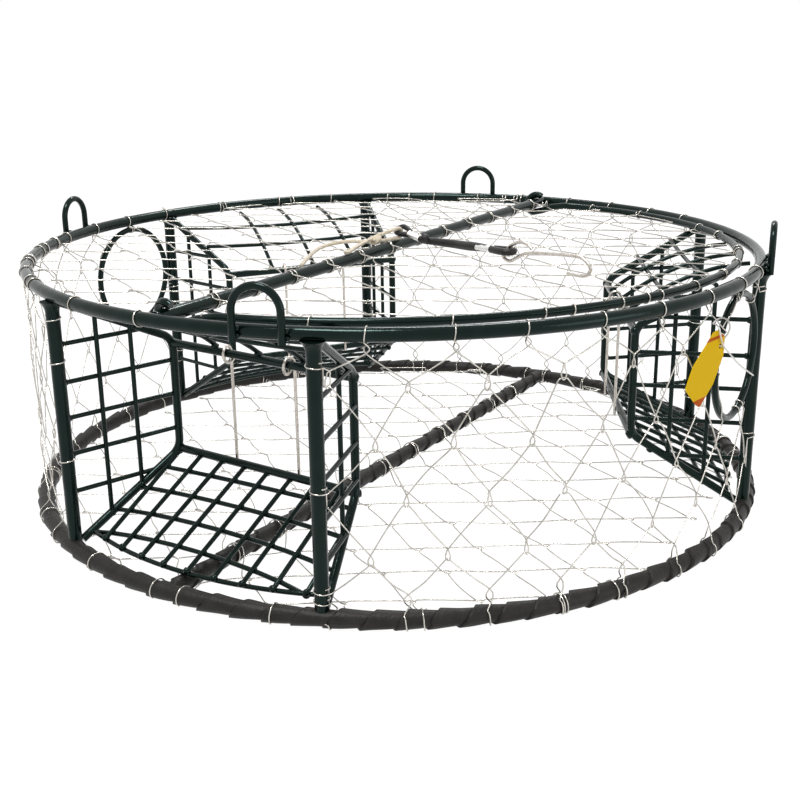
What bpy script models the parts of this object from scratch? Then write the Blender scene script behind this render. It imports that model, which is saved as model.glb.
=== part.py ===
"""Round crab pot: coated steel frame, three entry tunnels, wire netting and a hinged half lid."""

import math

import bmesh
import bpy
from mathutils import Matrix, Vector

# Frame: metres, and degrees round from the front towards +X
GAP = 0.0004
RING_R = 0.375
RING_Z = 0.2486
RING_ROD = 0.012
BASE_R = 0.3789
BASE_Z = 0.0077
POST_ROD = 0.0126
FRAME_ROD = 0.008
MESH_WIRE = 0.0045
RING_STEPS = 60
BASE_STEPS = 40

# Crossbar that carries the lid hinge
BAR_AZIMUTH = 148.2
BAR_HALF = RING_R - 0.5 * RING_ROD - 3 * GAP

# Rubber winding on the base
WRAP_HIGH = 0.0082
WRAP_LOW = 0.0079
WRAP_BORE = 0.00645
RING_TURNS = 38
BAR_TURNS = 14
TURN_STEP_SHARE = 0.07
POST_NOTCH = 0.0138
POST_NOTCH_TOP_Z = 0.03
FLOOR_CUT = 0.02

# Entry tunnels: axis and posts by azimuth, sideways shift, reach of the roof's middle wire, and
# for each side panel its upright wires by distance from the leg and how far its rows are shifted
TUNNELS = {
    "front": {"axis": -35.4, "shift": 0.0182, "posts": (-53.7, -9.6), "middle_reach": 0.333,
              "uprights": ((0.0455, 0.080), (0.037,)), "row_shifts": (0.0, -0.008),
              "trigger_shift": 0.0178},
    "right": {"axis": 87.4, "shift": -0.0015, "posts": (67.5, 108.5), "middle_reach": 0.3665,
              "uprights": ((0.038, 0.074), (0.031, 0.066)), "row_shifts": (-0.004, -0.004),
              "trigger_shift": -0.0015},
    "back": {"axis": 204.3, "shift": 0.0025, "posts": (185.9, 228.8), "middle_reach": 0.3665,
             "uprights": ((0.038, 0.076), (0.038, 0.076)), "row_shifts": (0.0, 0.0),
             "trigger_shift": 0.0025},
}
SIDES = {"left": -1, "right": 1}
THROAT_DIST = 0.242
THROAT_HALF = 0.109
BAR_TOP_Z = 0.184
BAR_LOW_Z = 0.0765
ARM_RING_Z = 0.2375
ARM_THROAT_Z = 0.189
ARM_INSET = 0.0165
RAMP_FOOT_Z = 0.0175
BEND_R = 0.018
SHORTEST_WIRE = 0.001
PANEL_ROWS = (0.061, 0.098, 0.133, 0.167, 0.203)
RAMP_TURN = 2.3
RAMP_PITCH = 0.0284
RAMP_WIRES = 9
RAMP_OFFSET = 0.009
RAMP_CROSS = (0.257, 0.283, 0.310, 0.336)
RAMP_EDGE_R = 0.358
RAMP_EDGE_Z = 0.0192
RAMP_DROP = 0.0035
RIM_END_GAP = 0.003
RIM_PASSES = 12
ROOF_PITCH = 0.054
ROOF_CROSS = (0.277, 0.315)
ROOF_EDGE_R = 0.3665
ROOF_EDGE_Z = 0.2385
ROOF_RISE = 0.011

# Triggers
TRIGGER_WIRE = 0.003
TRIGGER_HALF = 0.0343
TRIGGER_FOOT_Z = 0.0725
TRIGGER_EYE_R = 0.5 * (FRAME_ROD + TRIGGER_WIRE) + 2 * GAP
TRIGGER_LEG_R = 0.5 * (FRAME_ROD + TRIGGER_WIRE) + 3 * GAP
TRIGGER_EYE_PITCH = 0.0042
TRIGGER_EYE_STEPS = 7
TRIGGER_BRIDGE = (0.004, 0.001, 0.002)

# Escape rings and lifting loops
ESCAPE_R = 0.0577
ESCAPE_ROD = 0.0065
ESCAPE_DIST = 0.3725
ESCAPE_CLEAR = 0.079
ESCAPE_STEPS = 24
ESCAPES = {"right": (57.2, 0.1795), "left": (239.3, 0.181)}
LOOP_AZIMUTHS = {"front": -16.0, "right": 72.1, "back": 162.6, "left": 252.4}
LOOP_R = RING_R + 0.5 * RING_ROD + 0.5 * ESCAPE_ROD + GAP
LOOP_HALF = 0.0205
LOOP_FOOT_Z = 0.2415
LOOP_TOP_Z = 0.2870
LOOP_TOP_STEPS = 10

# Lid
LID_R = 0.347
LID_OUT_OF_ROUND = 0.013
LID_ROD = 0.008
EYE_R = 0.5 * RING_ROD + 0.5 * LID_ROD + 2 * GAP
EYE_PITCH = 0.0095
EYE_TURN = 215
EYE_STEPS = 12
LID_BOW_HALF = 83
LID_BOW_STEPS = 30
LID_DIP = ((0.026, 0.0025), (0.013, 0.0075))

# Netting
NET_WIRE = 0.0015
NET_STRIP = 0.003
NET_CELL = 0.126
BASE_CELL = 0.215
WALL_CELL = 0.150
WALL_R = 0.378
WALL_LOW_Z = 0.0172
WALL_TOP_Z = 0.2412
WALL_POST_GAP = 0.0012
WALL_RING_GAP = 0.0075
BASE_NET_Z = 0.0062
LID_NET_EDGE = 0.0130
LID_NET_GAP = 0.0014
LID_NET_ARC = 86.5
LID_NET_STEPS = 24
LID_NET_HALF = 0.326
LID_NET_REACH = 0.337
LID_NET_STEP = 0.033
TOP_NET_EDGE = 0.0110
TOP_NET_HALF = 0.326
TOP_NET_STEP = 0.008
BASE_NET_HALF = 0.36
BASE_NET_STEP = 0.002
HALF_DISC_STEPS = 22
NET_LINES_REACH = 2.0
NET_LEAST_GAP = 1.6 * NET_STRIP
NET_PHASES = {"lid": (0.5, 0.3), "top": (0.2, 0.6), "base": (0.35, 0.75), "wall": (0.1, 0.55)}

# Hook strap: a stretched rubber rope, thin where two sleeves pinch it and in its end loops
ROPE = 0.0088
ROPE_PINCHED = 0.0068
ROPE_LOOP = 0.0055
LOOP_SIDE = 0.0056
LOOP_TIP_BACK = LOOP_SIDE + 0.5 * ROPE_LOOP
INNER_TIP = Vector((0.0025, 0.0143, 0.2645))
INNER_SLEEVE = (Vector((0.0164, 0.0003, 0.2622)), Vector((0.0279, -0.0086, 0.2580)))
INNER_TILT = -30.0
ROPE_LINE = (
    (0.0293, -0.0096, 0.2575),
    (0.0316, -0.0113, 0.2567),
    (0.0410, -0.0135, 0.2558),
    (0.0620, -0.0300, 0.2557),
    (0.0760, -0.0515, 0.2572),
    (0.0847, -0.0656, 0.2587),
)
STUB_START = Vector((0.0335, -0.0128, 0.2578))
STUB_END = Vector((0.0345, -0.0170, 0.2625))
OUTER_SLEEVE = (Vector((0.0849, -0.0660, 0.2588)), Vector((0.0993, -0.0880, 0.2602)))
OUTER_TIP = Vector((0.1168, -0.1093, 0.2610))
SLEEVE_WIDTH = 0.0094
SLEEVE_BORE = 0.0082
SLEEVE_SIDES = 12
NECK_LAP = 0.0030
NECK_SIDE = 0.0006
LOOP_STEPS = 6
STRAP_PIVOT = Vector((0.0283, -0.0088, 0.2560))

# Hook, drawn in the upright plane through its eye: distance along and height
HOOK_WIRE = 0.0034
HOOK_FOOT = Vector((0.1128, -0.1044, 0.0))
HOOK_ALONG = Vector((0.6164, -0.7874, 0.0))
HOOK_PIVOT = Vector((0.1150, -0.1072, 0.2610))
HOOK_LINE = (
    (0.0308, 0.2677),
    (0.0268, 0.2707),
    (0.0163, 0.2724),
    (0.0055, 0.2688),
    (-0.0002, 0.2651),
    (-0.0042, 0.2592),
    (-0.0076, 0.2542),
    (0.0000, 0.2515),
    (0.0084, 0.2547),
    (0.0248, 0.2624),
    (0.0555, 0.2662),
    (0.0863, 0.2686),
    (0.0985, 0.2673),
    (0.1068, 0.2610),
    (0.1050, 0.2545),
    (0.0970, 0.2515),
    (0.0789, 0.2515),
)

# Cotton cord, from its tie on the crossbar round the strap's inner loop to its free end
CORD = 0.0035
CORD_ROUTE = (
    (-0.0485, -0.0782, 0.2569),
    (-0.0443, -0.0714, 0.2569),
    (-0.0410, -0.0600, 0.2572),
    (-0.0355, -0.0450, 0.2580),
    (-0.0270, -0.0290, 0.2600),
    (-0.0180, -0.0155, 0.2620),
    (-0.0080, -0.0068, 0.2645),
    (-0.0010, -0.0008, 0.2660),
    (0.0034, 0.0039, 0.2665),
    (0.0062, 0.0068, 0.2664),
    (0.0081, 0.0087, 0.2640),
    (0.0085, 0.0091, 0.2600),
    (0.0067, 0.0073, 0.2572),
    (0.0036, 0.0040, 0.2567),
    (-0.0010, -0.0010, 0.2569),
    (-0.0080, -0.0080, 0.2569),
    (-0.0170, -0.0160, 0.2571),
    (-0.0290, -0.0160, 0.2568),
    (-0.0430, -0.0085, 0.2560),
    (-0.0570, -0.0040, 0.2543),
    (-0.0690, -0.0090, 0.2525),
    (-0.0770, -0.0220, 0.2517),
    (-0.0825, -0.0450, 0.2515),
    (-0.0868, -0.0790, 0.2515),
    (-0.0900, -0.1120, 0.2515),
)

# Tag, drawn on its own tangent plane: sideways and height
TAG_AZIMUTH = 48.0
TAG_DIST = 0.3824
TAG_THICK = 0.0008
TAG_OUTLINE = (
    (-0.0500, 0.1958),
    (-0.0175, 0.2190),
    (-0.0105, 0.2200),
    (0.0042, 0.2119),
    (0.0038, 0.1946),
    (-0.0119, 0.1721),
    (-0.0345, 0.1562),
    (-0.0410, 0.1598),
    (-0.0615, 0.1783),
)
TAG_HOLE = (-0.0032, 0.2044)
TAG_HOLE_R = 0.0024
TAG_PIVOT_Z = 0.2245
TIE_CORD = 0.0016
TIE_ROUTE = (
    (47.5, 0.3853, 0.2050),
    (48.6, 0.3850, 0.2125),
    (50.0, 0.3822, 0.2185),
    (51.2, 0.3802, 0.2195),
    (51.6, 0.3752, 0.2168),
    (50.9, 0.3702, 0.2140),
    (49.2, 0.3700, 0.2095),
    (47.8, 0.3735, 0.2058),
    (47.4, 0.3795, 0.2043),
)


def polar(azimuth, radius, z=0.0):
    angle = math.radians(azimuth)
    return Vector((radius * math.sin(angle), -radius * math.cos(angle), z))


def bar_point(along, right, z):
    """A point by its distance along the crossbar, to the right of it, and its height."""
    along_dir = polar(BAR_AZIMUTH, 1.0)
    right_dir = polar(BAR_AZIMUTH - 90, 1.0)
    return along_dir * along + right_dir * right + Vector((0, 0, z))


def paint(name, colour, roughness, metallic=0.0):
    material = bpy.data.materials.new(name)
    material.use_nodes = True
    shader = material.node_tree.nodes["Principled BSDF"]
    shader.inputs["Base Color"].default_value = (*colour, 1.0)
    shader.inputs["Roughness"].default_value = roughness
    shader.inputs["Metallic"].default_value = metallic
    return material


def add_object(name, data, material, parent=None):
    piece = bpy.data.objects.new(name, data)
    if data is not None and not data.materials:
        data.materials.append(material)
    bpy.context.scene.collection.objects.link(piece)
    piece.parent = parent
    return piece


def add_pivot(name, location, azimuth=0.0):
    pivot = bpy.data.objects.new(name, None)
    pivot.location = location
    pivot.rotation_euler.z = math.radians(azimuth)
    bpy.context.scene.collection.objects.link(pivot)
    bpy.context.view_layer.update()
    return pivot


def hang(piece, pivot):
    """Parents a piece that was drawn in place to the pivot of its joint."""
    piece.parent = pivot
    piece.matrix_parent_inverse = pivot.matrix_world.inverted()


def hide_cutter(piece):
    piece.hide_render = True
    piece.display_type = "WIRE"


def rod_curve(name, points, width, sides, cyclic=False, shares=None):
    """A round rod along the points; shares scales the radius at each point."""
    curve = bpy.data.curves.new(name, "CURVE")
    curve.dimensions = "3D"
    curve.bevel_depth = 0.5 * width
    curve.bevel_resolution = (sides - 4) // 2
    curve.use_fill_caps = True
    spline = curve.splines.new("POLY")
    spline.points.add(len(points) - 1)
    for index, point in enumerate(points):
        spline.points[index].co = (*point, 1.0)
        if shares:
            spline.points[index].radius = shares[index]
    spline.use_cyclic_u = cyclic
    return curve


def rod(name, points, width, sides, material, parent=None, cyclic=False):
    return add_object(name, rod_curve(name, points, width, sides, cyclic), material, parent)


def as_mesh(name, curve, material, parent=None):
    """The same rod as a mesh, which a Boolean can cut."""
    draft = bpy.data.objects.new(name + "_draft", curve)
    mesh = bpy.data.meshes.new_from_object(draft)
    bpy.data.objects.remove(draft)
    mesh.name = name
    closed = bmesh.new()
    closed.from_mesh(mesh)
    bmesh.ops.remove_doubles(closed, verts=closed.verts[:], dist=1e-6)
    closed.to_mesh(mesh)
    closed.free()
    return add_object(name, mesh, material, parent)


def rounded(points, radius, steps=4):
    """The points with each inner corner turned into an arc of short runs."""
    path = [points[0]]
    for before, corner, after in zip(points, points[1:], points[2:]):
        into = (before - corner).normalized()
        away = (after - corner).normalized()
        half = 0.5 * into.angle(away)
        reach = radius / math.tan(half)
        centre = corner + (into + away).normalized() * (radius / math.sin(half))
        first = corner + into * reach - centre
        last = corner + away * reach - centre
        for step in range(steps + 1):
            path.append(centre + first.slerp(last, step / steps) * radius)
    path.append(points[-1])
    return path


def smooth_line(points, per_span):
    """Points on a smooth curve through the given ones."""
    points = [Vector(point) for point in points]
    ends = [2 * points[0] - points[1]] + points + [2 * points[-1] - points[-2]]
    path = []
    for a, b, c, d in zip(ends, ends[1:], ends[2:], ends[3:]):
        for step in range(per_span):
            t = step / per_span
            path.append(0.5 * (2 * b + (c - a) * t + (2 * a - 5 * b + 4 * c - d) * t * t
                               + (3 * b - a - 3 * c + d) * t ** 3))
    path.append(points[-1])
    return path


def solidify(piece, thickness):
    modifier = piece.modifiers.new("thickness", "SOLIDIFY")
    modifier.thickness = thickness
    modifier.offset = 0.0
    modifier.use_even_offset = True


def subtract(piece, cutter):
    modifier = piece.modifiers.new("cut", "BOOLEAN")
    modifier.operation = "DIFFERENCE"
    modifier.solver = "EXACT"
    modifier.object = cutter


def lattice(name, columns, rows, width, place, material, parent):
    """Crossing wires fused into one grid, laid out flat and then set in place by a function.

    Each column is (x, low, high) and each row (left, right, height), where low, high and height
    are heights that may depend on x.
    """
    mesh = bmesh.new()
    corners = {}
    half = 0.5 * width

    def corner(x, y):
        key = (round(x, 6), round(y, 6))
        if key not in corners:
            corners[key] = mesh.verts.new(place(x, y))
        return corners[key]

    def quad(x0, low0, high0, x1, low1, high1):
        mesh.faces.new((corner(x0, low0), corner(x1, low1), corner(x1, high1), corner(x0, high0)))

    def crosses(column, row):
        x, low, high = column
        left, right, height = row
        return left < x < right and low(x) < height(x) < high(x)

    for left, right, height in rows:
        stops = [left]
        for column in columns:
            if crosses(column, (left, right, height)):
                stops += [column[0] - half, column[0] + half]
        stops.append(right)
        for x0, x1 in zip(stops, stops[1:]):
            quad(x0, height(x0) - half, height(x0) + half,
                 x1, height(x1) - half, height(x1) + half)
    for x, low, high in columns:
        x0, x1 = x - half, x + half
        crossed = [row[2] for row in rows if crosses((x, low, high), row)]
        crossed.sort(key=lambda height: height(x))
        starts = [low] + [lambda v, h=height: h(v) + half for height in crossed]
        ends = [lambda v, h=height: h(v) - half for height in crossed] + [high]
        for start, end in zip(starts, ends):
            if end(x) - start(x) > SHORTEST_WIRE:
                quad(x0, start(x0), end(x0), x1, start(x1), end(x1))
    data = bpy.data.meshes.new(name)
    mesh.to_mesh(data)
    mesh.free()
    solidify(add_object(name, data, material, parent), width)


def level(height):
    return lambda x: height


def netting(name, outlines, cell, phase, material, bend=None):
    """A sheet cut into diamonds by two sets of slanting lines, with a strip left along each."""
    mesh = bmesh.new()
    for outline in outlines:
        mesh.faces.new([mesh.verts.new((x, y, 0.0)) for x, y in outline])
    bmesh.ops.remove_doubles(mesh, verts=mesh.verts[:], dist=1e-5)
    pitch = cell / math.sqrt(2)
    last = int(NET_LINES_REACH / pitch)
    for lean, offset in zip((1, -1), phase):
        normal = Vector((1.0, lean, 0.0)).normalized()
        for index in range(-last, last + 1):
            point = normal * (index + offset) * pitch
            bmesh.ops.bisect_plane(mesh, geom=mesh.verts[:] + mesh.edges[:] + mesh.faces[:],
                                   dist=1e-5, plane_co=point, plane_no=normal)
    bmesh.ops.remove_doubles(mesh, verts=mesh.verts[:], dist=NET_STRIP)
    wide = [f for f in mesh.faces if 2 * f.calc_area() / f.calc_perimeter() > NET_LEAST_GAP]
    bmesh.ops.inset_individual(mesh, faces=wide, thickness=0.5 * NET_STRIP, use_even_offset=True)
    bmesh.ops.delete(mesh, geom=wide, context="FACES")
    if bend:
        for vertex in mesh.verts:
            vertex.co = bend(vertex.co)
    data = bpy.data.meshes.new(name)
    mesh.to_mesh(data)
    mesh.free()
    piece = add_object(name, data, material)
    solidify(piece, NET_WIRE)
    return piece


def arc_points(radius_at, start, stop, steps):
    """Plan points along the crossbar and to the right of it, by degrees from straight right."""
    points = []
    for step in range(steps + 1):
        angle = start + (stop - start) * step / steps
        radius = radius_at(angle)
        points.append((radius * math.sin(math.radians(angle)),
                       radius * math.cos(math.radians(angle))))
    return points


def lid_radius(angle):
    """The lid rod's distance from the pot's axis, by degrees from the lid's middle."""
    return LID_R + LID_OUT_OF_ROUND * math.sin(math.radians(2 * angle))


def circle(radius, z, steps):
    return [polar(360 * step / steps, radius, z) for step in range(steps)]


def make_rings(coat):
    rod("top_ring", circle(RING_R, RING_Z, RING_STEPS), RING_ROD, 8, coat, cyclic=True)
    rod("bottom_ring", circle(BASE_R, BASE_Z, BASE_STEPS), RING_ROD, 6, coat, cyclic=True)


def post_azimuths():
    return [azimuth for tunnel in TUNNELS.values() for azimuth in tunnel["posts"]]


def make_posts(coat):
    foot = BASE_Z + 0.5 * RING_ROD + GAP
    head = RING_Z - 0.5 * RING_ROD - GAP
    shape = rod_curve("post", [(0, 0, foot), (0, 0, head)], POST_ROD, 10)
    for tunnel_name, tunnel in TUNNELS.items():
        for side, azimuth in zip(SIDES, tunnel["posts"]):
            post = add_object(f"{tunnel_name}_post_{side}", shape, coat)
            post.location = polar(azimuth, 0.5 * (RING_R + BASE_R))


def make_crossbars(coat):
    ends = [bar_point(-BAR_HALF, 0, RING_Z), bar_point(BAR_HALF, 0, RING_Z)]
    rod("top_crossbar", ends, RING_ROD, 10, coat)
    reach = BASE_R - WRAP_HIGH - 5 * GAP
    rod("bottom_crossbar", [bar_point(-reach, 0, BASE_Z), bar_point(reach, 0, BASE_Z)],
        RING_ROD, 8, coat)


def winding_stations(turns):
    """Where each turn of the strip starts and ends, as shares of the way, with its radius share."""
    stations = []
    for turn in range(turns):
        stations.append(((turn + TURN_STEP_SHARE) / turns, 1.0))
        stations.append(((turn + 1) / turns, WRAP_LOW / WRAP_HIGH))
    return stations


def floor_cutter():
    size = 3 * BASE_R
    mesh = bmesh.new()
    bmesh.ops.create_cube(mesh, size=1.0, matrix=Matrix.Diagonal((size, size, FLOOR_CUT, 1)))
    data = bpy.data.meshes.new("floor_cutter")
    mesh.to_mesh(data)
    mesh.free()
    cutter = add_object("floor_cutter", data, None)
    cutter.location.z = -0.5 * FLOOR_CUT
    hide_cutter(cutter)
    return cutter


def make_ring_wrap(rubber, floor):
    stations = winding_stations(RING_TURNS)
    points = [polar(360 * share, BASE_R, BASE_Z) for share, _ in stations]
    shape = rod_curve("ring_wrap", points, 2 * WRAP_HIGH, 8, True, [s for _, s in stations])
    wrap = as_mesh("ring_wrap", shape, rubber)
    bore = as_mesh("ring_bore", rod_curve("ring_bore", circle(BASE_R, BASE_Z, BASE_STEPS),
                                          2 * WRAP_BORE, 6, True), None)
    hide_cutter(bore)
    subtract(wrap, bore)
    for azimuth in post_azimuths():
        centre = polar(azimuth, 0.5 * (RING_R + BASE_R))
        line = [centre + Vector((0, 0, BASE_Z + 5 * GAP)), centre + Vector((0, 0, POST_NOTCH_TOP_Z))]
        notch = as_mesh("post_notch", rod_curve("post_notch", line, POST_NOTCH, 10), None)
        hide_cutter(notch)
        subtract(wrap, notch)
    subtract(wrap, floor)


def make_crossbar_wrap(rubber, floor):
    reach = BASE_R - WRAP_HIGH - 4 * GAP
    stations = [(0.0, 1.0)] + winding_stations(BAR_TURNS)
    points = [bar_point(reach * (2 * share - 1), 0, BASE_Z) for share, _ in stations]
    shape = rod_curve("crossbar_wrap", points, 2 * WRAP_HIGH, 8, False, [s for _, s in stations])
    wrap = as_mesh("crossbar_wrap", shape, rubber)
    ends = [bar_point(-1.1 * reach, 0, BASE_Z), bar_point(1.1 * reach, 0, BASE_Z)]
    bore = as_mesh("crossbar_bore", rod_curve("crossbar_bore", ends, 2 * WRAP_BORE, 8), None)
    hide_cutter(bore)
    subtract(wrap, bore)
    subtract(wrap, floor)


def tunnel_point(lateral, dist, z):
    """A point in a tunnel's own frame, whose -Y axis points out of the mouth."""
    return Vector((lateral, -dist, z))


def post_in_tunnel(tunnel, side_index, radius):
    angle = math.radians(tunnel["posts"][side_index] - tunnel["axis"])
    return radius * math.sin(angle), radius * math.cos(angle)


def side_line(tunnel, side_index):
    """Plan corners of a tunnel's side: the leg and the post, and the unit step between them."""
    lateral = tunnel["shift"] + (2 * side_index - 1) * THROAT_HALF
    leg = Vector((lateral, -THROAT_DIST, 0))
    x, y = post_in_tunnel(tunnel, side_index, 0.5 * (RING_R + BASE_R))
    post = Vector((x, -y, 0))
    return leg, post, (post - leg).normalized()


def upright(point, z):
    return Vector((point.x, point.y, z))


def make_side_frame(prefix, tunnel, side, index, coat, parent):
    leg, post, step = side_line(tunnel, index)
    near_post = post - step * ARM_INSET
    corners = [upright(near_post, ARM_RING_Z), upright(leg, ARM_THROAT_Z),
               upright(leg, BAR_LOW_Z), upright(near_post, RAMP_FOOT_Z)]
    rod(f"{prefix}_side_frame_{side}", rounded(corners, BEND_R, 3), FRAME_ROD, 6, coat, parent)


def make_side_panel(prefix, tunnel, side, index, coat, parent):
    """Welded mesh between leg and post: x runs from the leg to the post, y is the height.

    A row too short to reach an upright wire would hang loose, and is left out.
    """
    leg, post, step = side_line(tunnel, index)
    depth = (post - leg).length
    run = depth - ARM_INSET
    clear = 0.5 * FRAME_ROD + 0.5 * MESH_WIRE + GAP
    corner_clear = 1.8 * clear
    slope_up = (ARM_RING_Z - ARM_THROAT_Z) / run
    slope_down = (BAR_LOW_Z - RAMP_FOOT_Z) / run

    def under_arm(x):
        return ARM_THROAT_Z + slope_up * x - (clear - 0.5 * MESH_WIRE) * math.hypot(1, slope_up)

    def over_ramp(x):
        return BAR_LOW_Z - slope_down * x + (clear - 0.5 * MESH_WIRE) * math.hypot(1, slope_down)

    left_edge = 0.5 * FRAME_ROD + GAP
    right_edge = depth - 0.5 * POST_ROD - GAP
    columns = [(x, over_ramp, under_arm) for x in tunnel["uprights"][index]]
    rows = []
    for height in PANEL_ROWS:
        height += tunnel["row_shifts"][index]
        start = left_edge
        if height > ARM_THROAT_Z - 2 * clear:
            start = (height - ARM_THROAT_Z + corner_clear) / slope_up
        if height < BAR_LOW_Z + clear:
            start = (BAR_LOW_Z + corner_clear - height) / slope_down
        if start < columns[-1][0]:
            rows.append((start, right_edge, level(height)))

    def place(x, y):
        return leg + step * x + Vector((0, 0, y))

    lattice(f"{prefix}_side_mesh_{side}", columns, rows, MESH_WIRE, place, coat, parent)


def make_throat_bars(prefix, tunnel, coat, parent):
    reach = THROAT_HALF - 0.5 * FRAME_ROD - GAP
    for name, z in (("top_bar", BAR_TOP_Z), ("sill_bar", BAR_LOW_Z)):
        ends = [tunnel_point(tunnel["shift"] - reach, THROAT_DIST, z),
                tunnel_point(tunnel["shift"] + reach, THROAT_DIST, z)]
        rod(f"{prefix}_{name}", ends, FRAME_ROD, 8, coat, parent)


def turned(point, degrees):
    return Matrix.Rotation(math.radians(degrees), 3, "Z") @ point


def frame_edge(tunnel, index, turn):
    """The inner face of a side frame: its sideways place by its distance from the pot's axis.

    Both are measured in a grid that is turned round the pot's axis by the given degrees.
    """
    leg, post, _ = [turned(point, -turn) for point in side_line(tunnel, index)]
    slope = (post.x - leg.x) / (leg.y - post.y)
    inset = (0.5 * FRAME_ROD + 2 * GAP) * math.hypot(1, slope) + 0.5 * MESH_WIRE * abs(slope)
    inward = 1 if index == 0 else -1
    return lambda dist: leg.x + slope * (dist + leg.y) + inward * inset


def rim_edge(radius):
    """Distance from the axis, straight out of the tunnel, where a rim of this radius lies."""
    return lambda x: math.sqrt(radius ** 2 - x * x)


def sloped_sheet(rim, near_z, rim_z, turn, rise=0.0):
    """Sets a grid drawn by sideways place and distance on lines from throat to rim.

    They are straight, or rise in a curve whose middle stands the given height above them.
    """
    def place(x, dist):
        point = turned(tunnel_point(x, dist, 0), turn)
        share = (-point.y - THROAT_DIST) / (rim(point.x) - THROAT_DIST)
        return upright(point, near_z + (rim_z - near_z) * share + 4 * rise * share * (1 - share))

    return place


def cross_rows(tunnel, distances, radius, turn):
    """Wires from side frame to side frame, or as far as the rim lets them go."""
    left, right = frame_edge(tunnel, 0, turn), frame_edge(tunnel, 1, turn)
    rows = []
    for dist in distances:
        reach = math.sqrt(radius ** 2 - dist ** 2) - RIM_END_GAP
        rows.append((max(left(dist), -reach), min(right(dist), reach), level(dist)))
    return rows


def rim_row(tunnel, rim, turn):
    """A rod that follows the rim, out to the side frames."""
    ends = []
    for index in (0, 1):
        edge = frame_edge(tunnel, index, turn)
        x = tunnel["shift"]
        for _ in range(RIM_PASSES):
            x = edge(rim(x))
        ends.append(x)
    return ends[0] + RIM_END_GAP, ends[1] - RIM_END_GAP, rim


def ramp_start(tunnel, x):
    """Where a long wire of the ramp starts: on the sill, or on the side frame that it meets."""
    turn = math.radians(RAMP_TURN)
    sill = THROAT_DIST + 0.5 * FRAME_ROD + GAP
    starts = [sill / math.cos(turn) + (x + 0.5 * MESH_WIRE) * math.tan(turn)]
    for index, side in enumerate((-1, 1)):
        edge = frame_edge(tunnel, index, RAMP_TURN)
        slope = edge(1.0) - edge(0.0)
        starts.append((x + side * 0.5 * MESH_WIRE - edge(0.0)) / slope)
    return max(starts)


def make_ramp(prefix, tunnel, coat, parent):
    """Welded mesh from the sill down to the mouth, turned a little in its tunnel."""
    rim = rim_edge(RAMP_EDGE_R)
    posts = [post_in_tunnel(tunnel, index, 0.5 * (RING_R + BASE_R))[0] for index in (0, 1)]
    middle = 0.5 * sum(posts) - RAMP_OFFSET
    columns = []
    for index in range(RAMP_WIRES):
        x = middle + (index - 0.5 * (RAMP_WIRES - 1)) * RAMP_PITCH
        columns.append((x, level(ramp_start(tunnel, x)), lambda v: rim(v) + 0.5 * MESH_WIRE))
    rows = cross_rows(tunnel, RAMP_CROSS, RAMP_EDGE_R - 0.5 * MESH_WIRE, RAMP_TURN)
    rows.append(rim_row(tunnel, rim, RAMP_TURN))
    lattice(f"{prefix}_ramp", columns, rows, MESH_WIRE,
            sloped_sheet(rim, BAR_LOW_Z - RAMP_DROP, RAMP_EDGE_Z, RAMP_TURN), coat, parent)


def make_roof(prefix, tunnel, coat, parent):
    """Wires that rest on the top bar and end under the top ring."""
    rim = rim_edge(ROOF_EDGE_R)
    near_z = BAR_TOP_Z + 0.5 * (FRAME_ROD + MESH_WIRE) + 2 * GAP
    columns = []
    for index in (-1, 0, 1):
        reach = rim_edge(ROOF_EDGE_R if index else tunnel["middle_reach"])
        columns.append((tunnel["shift"] + index * ROOF_PITCH, level(THROAT_DIST), reach))
    rows = cross_rows(tunnel, ROOF_CROSS, ROOF_EDGE_R, 0.0)
    lattice(f"{prefix}_roof", columns, rows, MESH_WIRE,
            sloped_sheet(rim, near_z, ROOF_EDGE_Z, 0.0, ROOF_RISE), coat, parent)


def make_trigger(prefix, tunnel, steel):
    """A wire gate: two eyes round the top bar and two legs that hang inside the sill bar."""
    pivot = add_pivot(f"{prefix}_trigger_axis", polar(tunnel["axis"], THROAT_DIST, BAR_TOP_Z),
                      tunnel["axis"])
    outer = TRIGGER_HALF + TRIGGER_EYE_PITCH
    half = [Vector((outer, TRIGGER_LEG_R, TRIGGER_FOOT_Z - BAR_TOP_Z))]
    for step in range(TRIGGER_EYE_STEPS + 1):
        share = step / TRIGGER_EYE_STEPS
        angle = math.radians(15 + 330 * share)
        half.append(Vector((outer - TRIGGER_EYE_PITCH * share, TRIGGER_EYE_R * math.cos(angle),
                            TRIGGER_EYE_R * math.sin(angle))))
    inward, out, down = TRIGGER_BRIDGE
    half.append(Vector((TRIGGER_HALF - inward, TRIGGER_EYE_R + out, -TRIGGER_EYE_R - down)))
    other = [Vector((-p.x, p.y, p.z)) for p in reversed(half)]
    shift = Vector((tunnel["trigger_shift"], 0, 0))
    path = [p + shift for p in half + other]
    rod(f"{prefix}_trigger", path, TRIGGER_WIRE, 6, steel, pivot)


def make_tunnels(coat, steel):
    for prefix, tunnel in TUNNELS.items():
        parent = add_pivot(f"{prefix}_tunnel_frame", (0, 0, 0), tunnel["axis"])
        for index, side in enumerate(SIDES):
            make_side_frame(prefix, tunnel, side, index, coat, parent)
            make_side_panel(prefix, tunnel, side, index, coat, parent)
        make_throat_bars(prefix, tunnel, coat, parent)
        make_ramp(prefix, tunnel, coat, parent)
        make_roof(prefix, tunnel, coat, parent)
        make_trigger(prefix, tunnel, steel)


def make_escape_rings(coat):
    points = []
    for step in range(ESCAPE_STEPS):
        angle = 2 * math.pi * step / ESCAPE_STEPS
        points.append((ESCAPE_R * math.cos(angle), 0, ESCAPE_R * math.sin(angle)))
    shape = rod_curve("escape_ring", points, ESCAPE_ROD, 6, True)
    for side, (azimuth, z) in ESCAPES.items():
        ring = add_object(f"escape_ring_{side}", shape, coat)
        ring.location = polar(azimuth, ESCAPE_DIST, z)
        ring.rotation_euler.z = math.radians(azimuth)


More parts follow.
